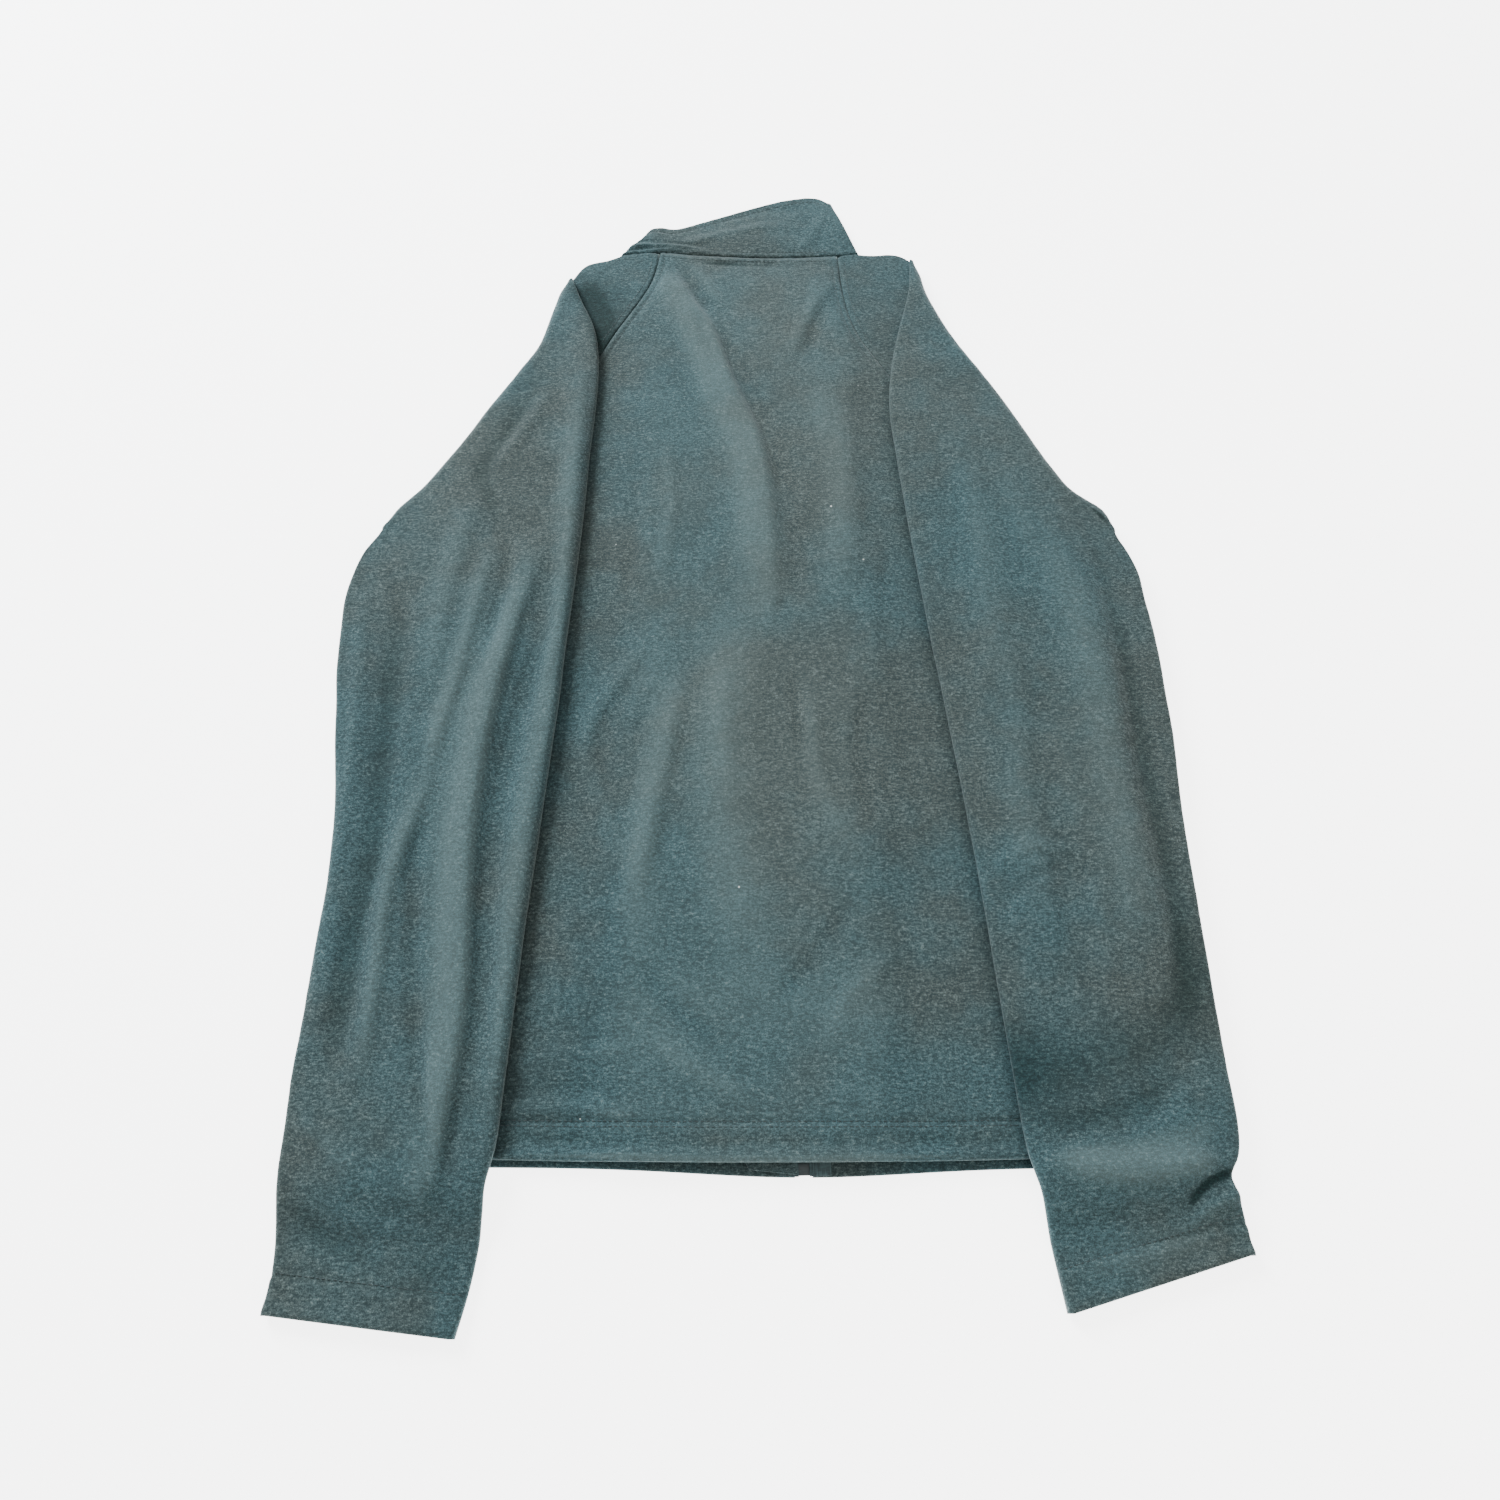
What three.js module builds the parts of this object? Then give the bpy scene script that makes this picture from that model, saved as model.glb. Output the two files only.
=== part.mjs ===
// Full-zip fleece jacket with raglan sleeves and a stand collar, laid out face down.
// Its back is up and both sleeves are folded over the back, down past the hem.
// Millimetres. X runs to the right across the back, Y from the hem to the collar, Z up.
// Y is 0 at the hem of the back and Z is 0 on the surface that the jacket lies on,
// until the whole jacket is moved so that the middle of its footprint is the origin.

import * as THREE from 'three';

// Driving dimensions of the cloth
const CLOTH = 2.4;
const SEAM_GAP = 0.3;
const LAYER_GAP = 1.2;
const HEM_DEPTH = 21;
const HEM_ROLL = 0.8;

// Driving dimensions of the jacket
const BACK_LENGTH = 697;
const FRONT_NECK_Y = 655;
const NECK_DIP = 4;
const COLLAR_HEIGHT = 66;
const FRONT_OPENING = 10;
const ZIP_HEM = { x: 30, y: -9 };
const ZIP_NECK_X = 8;

// Hems: the back's bows up towards its sides, the fronts' sags at the zip
const BACK_HEM = { middle: -2.2, sides: 0.2, halfWidth: 170 };
const FRONT_HEM = { sides: -4.2, sag: 5.3, spread: 85 };
const HEM_EASE = 60;
const HEM_STITCH = { depth: 0.5, halfWidth: 1.5, bandFrom: 3, bandTo: 1 };
const EDGE_ROUNDING = 0.55;

// Layers: two walls of cloth make a flat tube, whose section is centred between them
const TUBE_MIDDLE = CLOTH + LAYER_GAP / 2;
const TUBE_OUTSIDE = TUBE_MIDDLE;
const TUBE_INSIDE = LAYER_GAP / 2;
const BODY_TOP = 2 * TUBE_MIDDLE;
const FOLD_CLEARANCE = 0.8;
const FOLD_AXIS_Z = BODY_TOP + FOLD_CLEARANCE;
const FOLD_RADIUS = FOLD_CLEARANCE + TUBE_MIDDLE;

// How a sleeve's run takes over from its fold, and how its folds fade out at the cuff
const RUN_EASE = 4;
const CUFF_FADE = { sections: 3, share: 0.8 };
const LOWER_WALL_SHARE = 0.5;
const DEEPEST_TROUGH = 0.5;
const UNDERARM_EDGE = { x: 0.45, y: -0.89 };

// How full the tube is at the inner corner of its fold, where the cloth is pressed flat
const FOLD_CORNER = 0.5;

// Soft folds fade in over the first shares of their path and out over its last
const FOLD_FADE = { inFrom: -0.15, inTo: 0.2, outFrom: 0.75, outTo: 1.1 };

// How quickly the bow of a cap's top edge fades out across the sleeve
const CAP_BOW_EASE = 6;

// The collar: where along its front half the raglan seam meets it, and how far its back bows
const COLLAR_SEAM_SHARE = 0.6;
const COLLAR_FRONT_SHARES = [0, 0.3, COLLAR_SEAM_SHARE, 0.8];
const COLLAR_BOW = 1.4;

// Fineness of the meshes
const RAGLAN_STEPS = 8;
const FOLD_STEPS = 5;
const CAP_STEPS = 4;
const END_STEPS = 3;
const BACK_COLUMNS = 20;
const FRONT_COLUMNS = 8;
const BACK_SIDE_ROWS = 10;
const FRONT_SIDE_ROWS = 5;
const COLLAR_ROWS = 4;
const EDGE_COLUMNS = 3;
const EDGE_STEP = 2;
const CORNER_STEPS = 4;
const HOLE_STEPS = 6;
const NECK_ROWS = 2;
const SEARCH_STEPS = 200;
const SAME_HEIGHT = 0.01;

// Where the middle of the finished jacket's footprint lies
const FOOTPRINT_MIDDLE = { x: -2, y: 338 };

// Half patterns: points on each seam and edge, from the neck down
const RIGHT = {
  name: 'right',
  neck: { x: 86, y: 697 },
  capBow: 5,
  backRaglan: [
    { x: 71, y: 695 }, { x: 73, y: 663 }, { x: 77, y: 634 }, { x: 84, y: 609 }, { x: 94, y: 590 },
    { x: 106, y: 568 }, { x: 140, y: 521 }, { x: 185, y: 473 }, { x: 224, y: 443 }, { x: 251, y: 430 },
  ],
  frontRaglan: [
    { x: 66, y: 672 }, { x: 74, y: 636 }, { x: 95, y: 588 }, { x: 138, y: 526 }, { x: 185, y: 474 },
    { x: 224, y: 443 }, { x: 251, y: 430 },
  ],
  side: [
    { x: 246, y: 431 }, { x: 248, y: 416 }, { x: 253, y: 398 }, { x: 258, y: 355 }, { x: 257, y: 250 },
    { x: 257, y: 120 }, { x: 260, y: 0 },
  ],
  fold: [
    { x: 129, y: 688 }, { x: 132, y: 656 }, { x: 142, y: 624 }, { x: 157, y: 590 }, { x: 178, y: 550 },
    { x: 197, y: 510 }, { x: 214, y: 473 }, { x: 226, y: 453 }, { x: 239, y: 441 }, { x: 248, y: 433 },
    { x: 255, y: 420 },
  ],
  // Outline of the folded sleeve, one row for each section from the fold to the cuff
  sections: [
    { innerX: 123, innerY: 651, outerX: 260, outerY: 412, plump: 0.2 },
    { innerX: 114, innerY: 608, outerX: 265, outerY: 399, plump: 0.5 },
    { innerX: 107, innerY: 570, outerX: 269, outerY: 382, plump: 0.9 },
    { innerX: 104, innerY: 530, outerX: 270, outerY: 362, plump: 1.3 },
    { innerX: 107, innerY: 484, outerX: 272, outerY: 340, plump: 1.6 },
    { innerX: 111, innerY: 435, outerX: 273, outerY: 315, plump: 1.8 },
    { innerX: 116, innerY: 386, outerX: 273, outerY: 288, plump: 1.8 },
    { innerX: 121, innerY: 334, outerX: 273, outerY: 256, plump: 1.8 },
    { innerX: 127, innerY: 284, outerX: 271, outerY: 220, plump: 1.8 },
    { innerX: 132, innerY: 236, outerX: 270, outerY: 186, plump: 1.8 },
    { innerX: 137, innerY: 188, outerX: 270, outerY: 151, plump: 1.8 },
    { innerX: 141, innerY: 142, outerX: 270, outerY: 116, plump: 1.8 },
    { innerX: 145, innerY: 92, outerX: 270, outerY: 80, plump: 1.8 },
    { innerX: 149, innerY: 44, outerX: 270, outerY: 48, plump: 1.7 },
    { innerX: 152, innerY: 8, outerX: 271, outerY: 20, plump: 1.6 },
    { innerX: 155, innerY: -6, outerX: 269, outerY: 3, plump: 1.4 },
    { innerX: 158, innerY: -16, outerX: 263, outerY: -9, plump: 1.6 },
    { innerX: 160, innerY: -28, outerX: 265, outerY: -18, plump: 1.4 },
    { innerX: 163, innerY: -50, outerX: 268, outerY: -32, plump: 0.9 },
    { innerX: 167, innerY: -77, outerX: 271, outerY: -49, plump: 0.4 },
  ],
  // Largest folds of the sleeve, as soft ridges and troughs along a path
  folds: [
    {
      height: 2.4, width: 24,
      path: [{ x: 150, y: 520 }, { x: 158, y: 400 }, { x: 166, y: 260 }, { x: 176, y: 120 }],
    },
    {
      height: 2.6, width: 24,
      path: [
        { x: 205, y: 470 }, { x: 221, y: 390 }, { x: 229, y: 300 }, { x: 231, y: 220 },
        { x: 236, y: 130 }, { x: 236, y: 60 },
      ],
    },
    {
      height: 2.8, width: 15,
      path: [{ x: 170, y: -4 }, { x: 204, y: -6 }, { x: 232, y: -4 }, { x: 256, y: -3 }],
    },
  ],
};

const LEFT = {
  name: 'left',
  neck: { x: -103, y: 696 },
  capBow: 8,
  backRaglan: [
    { x: -73, y: 699 }, { x: -76, y: 678 }, { x: -80, y: 662 }, { x: -86, y: 648 }, { x: -93, y: 634 },
    { x: -103, y: 615 }, { x: -114, y: 592 }, { x: -130, y: 558 }, { x: -152, y: 518 }, { x: -190, y: 468 },
    { x: -226, y: 439 }, { x: -254, y: 427 },
  ],
  frontRaglan: [
    { x: -60, y: 668 }, { x: -72, y: 630 }, { x: -98, y: 580 }, { x: -142, y: 518 }, { x: -190, y: 467 },
    { x: -226, y: 439 }, { x: -254, y: 427 },
  ],
  side: [
    { x: -248, y: 429 }, { x: -250, y: 415 }, { x: -254, y: 398 }, { x: -257, y: 355 }, { x: -253, y: 250 },
    { x: -250, y: 120 }, { x: -252, y: 0 },
  ],
  fold: [
    { x: -142, y: 667 }, { x: -148, y: 632 }, { x: -157, y: 592 }, { x: -170, y: 566 }, { x: -190, y: 529 },
    { x: -209, y: 492 }, { x: -230, y: 456 }, { x: -245, y: 437 }, { x: -257, y: 422 },
  ],
  sections: [
    { innerX: -130, innerY: 640, outerX: -264, outerY: 413, plump: 0.2 },
    { innerX: -119, innerY: 608, outerX: -270, outerY: 401, plump: 0.5 },
    { innerX: -115, innerY: 575, outerX: -274, outerY: 384, plump: 0.9 },
    { innerX: -115, innerY: 535, outerX: -277, outerY: 362, plump: 1.3 },
    { innerX: -117, innerY: 488, outerX: -276, outerY: 336, plump: 1.6 },
    { innerX: -118, innerY: 436, outerX: -274, outerY: 306, plump: 1.8 },
    { innerX: -120, innerY: 384, outerX: -270, outerY: 277, plump: 1.8 },
    { innerX: -123, innerY: 330, outerX: -266, outerY: 246, plump: 1.8 },
    { innerX: -125, innerY: 280, outerX: -261, outerY: 213, plump: 1.8 },
    { innerX: -128, innerY: 232, outerX: -258, outerY: 182, plump: 1.8 },
    { innerX: -131, innerY: 182, outerX: -257, outerY: 148, plump: 1.8 },
    { innerX: -134, innerY: 135, outerX: -258, outerY: 114, plump: 1.8 },
    { innerX: -136, innerY: 88, outerX: -258, outerY: 80, plump: 1.8 },
    { innerX: -138, innerY: 44, outerX: -259, outerY: 48, plump: 1.7 },
    { innerX: -140, innerY: 8, outerX: -258, outerY: 18, plump: 1.6 },
    { innerX: -144, innerY: -12, outerX: -258, outerY: -3, plump: 1.4 },
    { innerX: -145, innerY: -28, outerX: -257, outerY: -20, plump: 1.2 },
    { innerX: -146, innerY: -46, outerX: -256, outerY: -38, plump: 1.0 },
    { innerX: -149, innerY: -66, outerX: -255, outerY: -58, plump: 0.8 },
    { innerX: -154, innerY: -86, outerX: -257, outerY: -77, plump: 0.4 },
  ],
  folds: [
    {
      height: 3.6, width: 17,
      path: [
        { x: -127, y: 600 }, { x: -128, y: 510 }, { x: -128, y: 430 }, { x: -130, y: 330 },
        { x: -134, y: 240 }, { x: -139, y: 160 }, { x: -142, y: 90 }, { x: -145, y: 10 },
      ],
    },
    {
      height: -1.6, width: 10,
      path: [
        { x: -136, y: 376 }, { x: -141, y: 326 }, { x: -149, y: 281 }, { x: -155, y: 243 },
        { x: -158, y: 199 }, { x: -159, y: 150 }, { x: -154, y: 100 }, { x: -153, y: 30 },
      ],
    },
    {
      height: 3.4, width: 20,
      path: [
        { x: -146, y: 391 }, { x: -158, y: 340 }, { x: -168, y: 273 }, { x: -172, y: 200 },
        { x: -170, y: 147 }, { x: -166, y: 80 }, { x: -169, y: 30 }, { x: -172, y: -10 },
      ],
    },
    {
      height: 2.2, width: 14,
      path: [
        { x: -203, y: 225 }, { x: -212, y: 185 }, { x: -218, y: 147 }, { x: -217, y: 98 },
        { x: -218, y: 52 },
      ],
    },
  ],
};

// How far across a sleeve each point of its section lies, from the inner edge to the outer
const ACROSS = [0, 0.05, 0.12, 0.2, 0.31, 0.44, 0.58, 0.73, 0.88, 1];

// Top edge of the collar's back half, from left to right
const COLLAR_TOP = [
  { x: -84, y: 718 }, { x: -82, y: 725 }, { x: -74, y: 728 }, { x: -62, y: 726 }, { x: -39, y: 734 },
  { x: -4, y: 748 }, { x: 32, y: 760 }, { x: 55, y: 762 }, { x: 65, y: 756 },
];
const COLLAR_FRONT_TOP_Y = FRONT_NECK_Y + COLLAR_HEIGHT;

// Largest folds of the back, as soft ridges and troughs along a path
const BACK_FOLDS = [
  {
    height: 5.2, width: 26,
    path: [
      { x: -80, y: 688 }, { x: -58, y: 645 }, { x: -38, y: 598 }, { x: -22, y: 548 }, { x: -7, y: 505 },
      { x: 0, y: 460 }, { x: 2, y: 410 }, { x: 4, y: 350 },
    ],
  },
  {
    height: -1.6, width: 16,
    path: [
      { x: -8, y: 590 }, { x: 12, y: 530 }, { x: 24, y: 480 }, { x: 27, y: 420 }, { x: 26, y: 370 },
    ],
  },
  {
    height: 2, width: 34,
    path: [{ x: -6, y: 360 }, { x: -18, y: 270 }, { x: -14, y: 180 }, { x: 0, y: 110 }],
  },
  { height: 1.8, width: 26, path: [{ x: 46, y: 560 }, { x: 66, y: 470 }, { x: 62, y: 380 }] },
  { height: 1.6, width: 24, path: [{ x: -64, y: 330 }, { x: -76, y: 220 }, { x: -70, y: 120 }] },
];
const BACK_FULLNESS = { height: 2.6, least: 1.6, inside: 68, outside: 100, top: 690, topFade: 34 };

// A sleeve comes down from the hem onto the surface between these places
const DROP = { start: -11, length: 34, height: BODY_TOP + 2 * FOLD_CLEARANCE };

// Zip, guard and their places beside the zip line
const TAPE = { inner: 3, width: 12, thickness: 0.6, length: 728 };
const CHAIN = { width: 5.4, bottom: 1.3, top: 3.3, start: 12 };
const SLIDER = { width: 8, length: 10, bottom: 0.2, top: 2.4, at: 700, corner: 2.5 };
const PULL = { width: 5, length: 22, thickness: 1, hole: 1.2, corner: 2.4 };
const STOP = { width: 8, length: 11, bottom: 0.2, top: 2.4, start: 0.6, corner: 1 };
const GUARD = { near: 4, width: 30, thickness: 1.2, start: 1, end: 655, corner: 12 };

const FLEECE = new THREE.MeshStandardMaterial({ color: 0x4b6367, roughness: 0.96, metalness: 0 });
const TAPE_CLOTH = new THREE.MeshStandardMaterial({ color: 0x1d2a2c, roughness: 0.85, metalness: 0 });
const ZIP_PLASTIC = new THREE.MeshStandardMaterial({ color: 0x22292a, roughness: 0.5, metalness: 0 });
const ZIP_METAL = new THREE.MeshStandardMaterial({ color: 0x5b6062, roughness: 0.4, metalness: 0.85 });

const lerp = THREE.MathUtils.lerp;
const smoothstep = THREE.MathUtils.smoothstep;

// A smooth plan curve through table points, read by its share of the length
function planCurve(points) {
  const places = points.map((p) => new THREE.Vector3(p.x, p.y, 0));
  return new THREE.CatmullRomCurve3(places, false, 'centripetal');
}

function curveSamples(points, shares) {
  const curve = planCurve(points);
  return shares.map((share) => curve.getPointAt(share));
}

function evenShares(steps) {
  return Array.from({ length: steps + 1 }, (_, k) => k / steps);
}

// Normals of a plan polyline, a quarter turn to the left of its direction
function planNormals(places) {
  return places.map((_, k) => {
    const before = places[Math.max(k - 1, 0)];
    const after = places[Math.min(k + 1, places.length - 1)];
    return new THREE.Vector3(before.y - after.y, after.x - before.x, 0).normalize();
  });
}

function distanceToPath(path, x, y) {
  let best = { distance: Infinity, share: 0 };
  for (let k = 0; k < path.length - 1; k += 1) {
    const dx = path[k + 1].x - path[k].x;
    const dy = path[k + 1].y - path[k].y;
    const along = ((x - path[k].x) * dx + (y - path[k].y) * dy) / (dx * dx + dy * dy);
    const t = THREE.MathUtils.clamp(along, 0, 1);
    const distance = Math.hypot(x - path[k].x - t * dx, y - path[k].y - t * dy);
    if (distance < best.distance) best = { distance, share: (k + t) / (path.length - 1) };
  }
  return best;
}

// Height of soft folds at a place: a rounded profile across, fading out at both ends
function foldLift(folds, x, y) {
  let lift = 0;
  for (const fold of folds) {
    const near = distanceToPath(fold.path, x, y);
    if (near.distance < fold.width) {
      const across = Math.cos((Math.PI / 2) * (near.distance / fold.width)) ** 2;
      const fadeIn = smoothstep(near.share, FOLD_FADE.inFrom, FOLD_FADE.inTo);
      const fadeOut = smoothstep(near.share, FOLD_FADE.outFrom, FOLD_FADE.outTo);
      lift += fold.height * across * fadeIn * (1 - fadeOut);
    }
  }
  return lift;
}

function signedVolume(places, triangles) {
  let volume = 0;
  for (let k = 0; k < triangles.length; k += 3) {
    const [a, b, c] = [places[triangles[k]], places[triangles[k + 1]], places[triangles[k + 2]]];
    volume += a.dot(new THREE.Vector3().crossVectors(b, c));
  }
  return volume;
}

// A closed body whose faces look outwards
function closedGeometry(places, triangles) {
  const facing = signedVolume(places, triangles) > 0 ? triangles : triangles.slice().reverse();
  const values = places.flatMap((p) => [p.x, p.y, p.z]);
  const geometry = new THREE.BufferGeometry();
  geometry.setAttribute('position', new THREE.Float32BufferAttribute(values, 3));
  geometry.setIndex(facing);
  geometry.computeVertexNormals();
  return geometry;
}

function pushQuad(triangles, a, b, c, d) {
  triangles.push(a, b, c, a, c, d);
}

// A wall between two grids of the same size, closed along its four sides
function wallFromGrids(over, under) {
  const columns = over[0].length;
  const lastRow = over.length - 1;
  const end = columns - 1;
  const places = [...over.flat(), ...under.flat()];
  const top = (r, c) => r * columns + c;
  const low = (r, c) => (lastRow + 1 + r) * columns + c;
  const triangles = [];
  for (let r = 0; r < lastRow; r += 1) {
    for (let c = 0; c < end; c += 1) {
      pushQuad(triangles, top(r, c), top(r, c + 1), top(r + 1, c + 1), top(r + 1, c));
      pushQuad(triangles, low(r, c), low(r + 1, c), low(r + 1, c + 1), low(r, c + 1));
    }
    pushQuad(triangles, top(r, 0), top(r + 1, 0), low(r + 1, 0), low(r, 0));
    pushQuad(triangles, top(r, end), low(r, end), low(r + 1, end), top(r + 1, end));
  }
  for (let c = 0; c < end; c += 1) {
    pushQuad(triangles, top(0, c), low(0, c), low(0, c + 1), top(0, c + 1));
    pushQuad(triangles, top(lastRow, c), top(lastRow, c + 1), low(lastRow, c + 1), low(lastRow, c));
  }
  return closedGeometry(places, triangles);
}

// A tube's wall between outer and inner rings, closed by a rim at each end
function wallFromRings(outer, inner) {
  const rings = outer.length;
  const count = outer[0].length;
  const places = [...outer.flat(), ...inner.flat()];
  const out = (r, k) => r * count + (k % count);
  const ins = (r, k) => rings * count + r * count + (k % count);
  const triangles = [];
  for (let k = 0; k < count; k += 1) {
    for (let r = 0; r < rings - 1; r += 1) {
      pushQuad(triangles, out(r, k), out(r, k + 1), out(r + 1, k + 1), out(r + 1, k));
      pushQuad(triangles, ins(r, k), ins(r + 1, k), ins(r + 1, k + 1), ins(r, k + 1));
    }
    pushQuad(triangles, out(0, k), ins(0, k), ins(0, k + 1), out(0, k + 1));
    pushQuad(triangles, out(rings - 1, k), out(rings - 1, k + 1), ins(rings - 1, k + 1), ins(rings - 1, k));
  }
  return closedGeometry(places, triangles);
}

function zipX(y) {
  return lerp(ZIP_HEM.x, ZIP_NECK_X, (y - ZIP_HEM.y) / (FRONT_NECK_Y - ZIP_HEM.y));
}

function backHemY(x) {
  return lerp(BACK_HEM.middle, BACK_HEM.sides, Math.min((x / BACK_HEM.halfWidth) ** 2, 1));
}

function frontHemY(x) {
  return FRONT_HEM.sides - FRONT_HEM.sag * Math.exp(-(((x - ZIP_HEM.x) / FRONT_HEM.spread) ** 2));
}

// Which way is outwards along X
function outwards(half) {
  return half.name === 'right' ? 1 : -1;
}

// Raglan seam samples, shifted off the seam line by half a gap to one side of it
function raglanSeam(half, key, towardsSleeve) {
  const samples = curveSamples(half[key], evenShares(RAGLAN_STEPS));
  const shift = (towardsSleeve ? 1 : -1) * outwards(half) * (SEAM_GAP / 2);
  const normals = planNormals(samples);
  return samples.map((p, k) => p.clone().addScaledVector(normals[k], shift));
}

// The back's lift off its flat place: a general fullness and the largest folds
function backLift(x, y) {
  const sideways = 1 - smoothstep(Math.abs(x), BACK_FULLNESS.inside, BACK_FULLNESS.outside);
  const upwards = 1 - smoothstep(y, BACK_FULLNESS.top - BACK_FULLNESS.topFade, BACK_FULLNESS.top);
  const lift = Math.max(BACK_FULLNESS.height + foldLift(BACK_FOLDS, x, y), BACK_FULLNESS.least);
  return sideways * upwards * lift;
}

// The turned hem: a slightly thicker band below its stitch line
function hemLift(above) {
  const band = 1 - smoothstep(above, HEM_DEPTH - HEM_STITCH.bandFrom, HEM_DEPTH - HEM_STITCH.bandTo);
  const stitch = Math.exp(-(((above - HEM_DEPTH) / HEM_STITCH.halfWidth) ** 2));
  return HEM_ROLL * band - HEM_STITCH.depth * stitch;
}

// Places of the outermost columns: round the side seam, or level along a raglan seam
function edgeColumn(k, reach, curled) {
  if (!curled) return { out: -k * EDGE_STEP, up: reach };
  if (k === 0) return { out: Math.sqrt(reach * reach - (SEAM_GAP / 2) ** 2), up: SEAM_GAP / 2 };
  const angle = (Math.PI / 2) * (1 - k / EDGE_COLUMNS);
  return { out: reach * Math.sin(angle), up: reach * Math.cos(angle) };
}

// Heights above the hem of a panel's rows: close together at the hem, then even to the underarm
const HEM_ROWS = [0, 1.2, 10, HEM_DEPTH - 2.5, HEM_DEPTH, HEM_DEPTH + 2.5];
const EVEN_ROWS = { first: HEM_DEPTH + 24, last: LEFT.side[0].y - 4 };

function sideRows(count) {
  const even = evenShares(count - 1).map((share) => lerp(EVEN_ROWS.first, EVEN_ROWS.last, share));
  return [...HEM_ROWS, ...even];
}

function sidePointAt(half, y) {
  const side = half.side;
  if (y >= side[0].y) return new THREE.Vector3(side[0].x, y, 0);
  const curve = planCurve(side);
  let best = curve.getPointAt(1);
  for (const share of evenShares(SEARCH_STEPS)) {
    const p = curve.getPointAt(share);
    if (Math.abs(p.y - y) < Math.abs(best.y - y)) best = p;
  }
  return new THREE.Vector3(best.x, y, 0);
}

function backRows() {
  const rows = sideRows(BACK_SIDE_ROWS).map((y) => ({
    left: sidePointAt(LEFT, y), right: sidePointAt(RIGHT, y), curled: true, hem: y, neck: 0,
  }));
  const leftSeam = raglanSeam(LEFT, 'backRaglan', false);
  const rightSeam = raglanSeam(RIGHT, 'backRaglan', false);
  for (let k = RAGLAN_STEPS; k >= 0; k -= 1) {
    const left = leftSeam[k].clone();
    const right = rightSeam[k].clone();
    if (k === 0) {
      left.y -= SEAM_GAP / 2;
      right.y -= SEAM_GAP / 2;
    }
    rows.push({ left, right, curled: false, hem: BACK_LENGTH, neck: Math.max(0, 1 - k / NECK_ROWS) });
  }
  return rows;
}

// One surface of the back: reach is the outer or inner half height of the body's tube
function backGrid(reach) {
  return backRows().map((row, r) => {
    const line = [];
    for (let k = 0; k < EDGE_COLUMNS; k += 1) {
      const edge = edgeColumn(k, reach, row.curled);
      line.push(new THREE.Vector3(row.left.x - edge.out, row.left.y, TUBE_MIDDLE + edge.up));
    }
    const inset = row.curled ? 0 : EDGE_COLUMNS * EDGE_STEP;
    for (let c = 0; c <= BACK_COLUMNS; c += 1) {
      const share = c / BACK_COLUMNS;
      const x = lerp(row.left.x + inset, row.right.x - inset, share);
      const dip = -NECK_DIP * row.neck * (1 - (2 * share - 1) ** 2);
      const y = lerp(row.left.y, row.right.y, share) + dip;
      line.push(new THREE.Vector3(x, y, TUBE_MIDDLE + reach + backLift(x, y)));
    }
    for (let k = EDGE_COLUMNS - 1; k >= 0; k -= 1) {
      const edge = edgeColumn(k, reach, row.curled);
      line.push(new THREE.Vector3(row.right.x + edge.out, row.right.y, TUBE_MIDDLE + edge.up));
    }
    finishBackHem(line, row.hem, r === 0, reach);
    return line;
  });
}

// Lowers the back's hem rows onto the hem's curve, rounds the edge and adds the turned band
function finishBackHem(line, above, isEdge, reach) {
  const isOuter = reach === TUBE_OUTSIDE;
  const nearHem = 1 - smoothstep(above, 0, HEM_EASE);
  for (const p of line) {
    p.y += backHemY(p.x) * nearHem;
    if (isEdge && Math.abs(p.z - TUBE_MIDDLE) > TUBE_INSIDE - SAME_HEIGHT) {
      p.z += isOuter ? -EDGE_ROUNDING : EDGE_ROUNDING;
    }
    if (isOuter && !isEdge) p.z += hemLift(above) * smoothstep(p.z, BODY_TOP - 1, BODY_TOP);
  }
}

function frontRows(half) {
  const sides = sideRows(FRONT_SIDE_ROWS).map((y) => ({
    edge: sidePointAt(half, y), curled: true, hem: y, y,
  }));
  const seam = raglanSeam(half, 'frontRaglan', false).reverse();
  const seams = seam.map((edge, k) => {
    const y = lerp(EVEN_ROWS.last, FRONT_NECK_Y, (k + 1) / seam.length);
    return { edge, curled: false, hem: FRONT_NECK_Y, y };
  });
  return [...sides, ...seams];
}

function frontGrid(half, reach) {
  const turn = outwards(half);
  return frontRows(half).map((row) => {
    const line = [];
    const opening = openingAt(half, row.y);
    const width = Math.abs(opening.x - row.edge.x);
    for (let k = 0; k < EDGE_COLUMNS; k += 1) {
      const edge = edgeColumn(k, reach, row.curled);
      const y = row.curled ? row.edge.y : lerp(row.edge.y, opening.y, -edge.out / width);
      line.push(new THREE.Vector3(row.edge.x + turn * edge.out, y, TUBE_MIDDLE - edge.up));
    }
    const inset = row.curled ? 0 : (EDGE_COLUMNS * EDGE_STEP) / width;
    for (let c = 0; c <= FRONT_COLUMNS; c += 1) {
      const p = row.edge.clone().lerp(opening, lerp(inset, 1, c / FRONT_COLUMNS));
      line.push(new THREE.Vector3(p.x, p.y, TUBE_MIDDLE - reach));
    }
    const nearHem = 1 - smoothstep(row.hem, 0, HEM_EASE);
    for (const p of line) p.y += frontHemY(p.x) * nearHem;
    return line;
  });
}

// One ring of a flat tube: across the near wall, round the outer edge, back and round the inner.
// place(point, height, column) puts a point of the flat section where it lies in space.
function tubeRing(near, far, ends, reach, place) {
  const last = ACROSS.length - 1;
  const farBack = far.map((p, k) => place(p, -reach, k)).reverse();
  return [
    ...near.map((p, k) => place(p, reach, k)),
    ...edgeTurn(near[last], far[last], ends.outer, reach, last, place),
    ...farBack,
    ...edgeTurn(far[0], near[0], ends.inner, -reach, 0, place),
  ];
}

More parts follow.
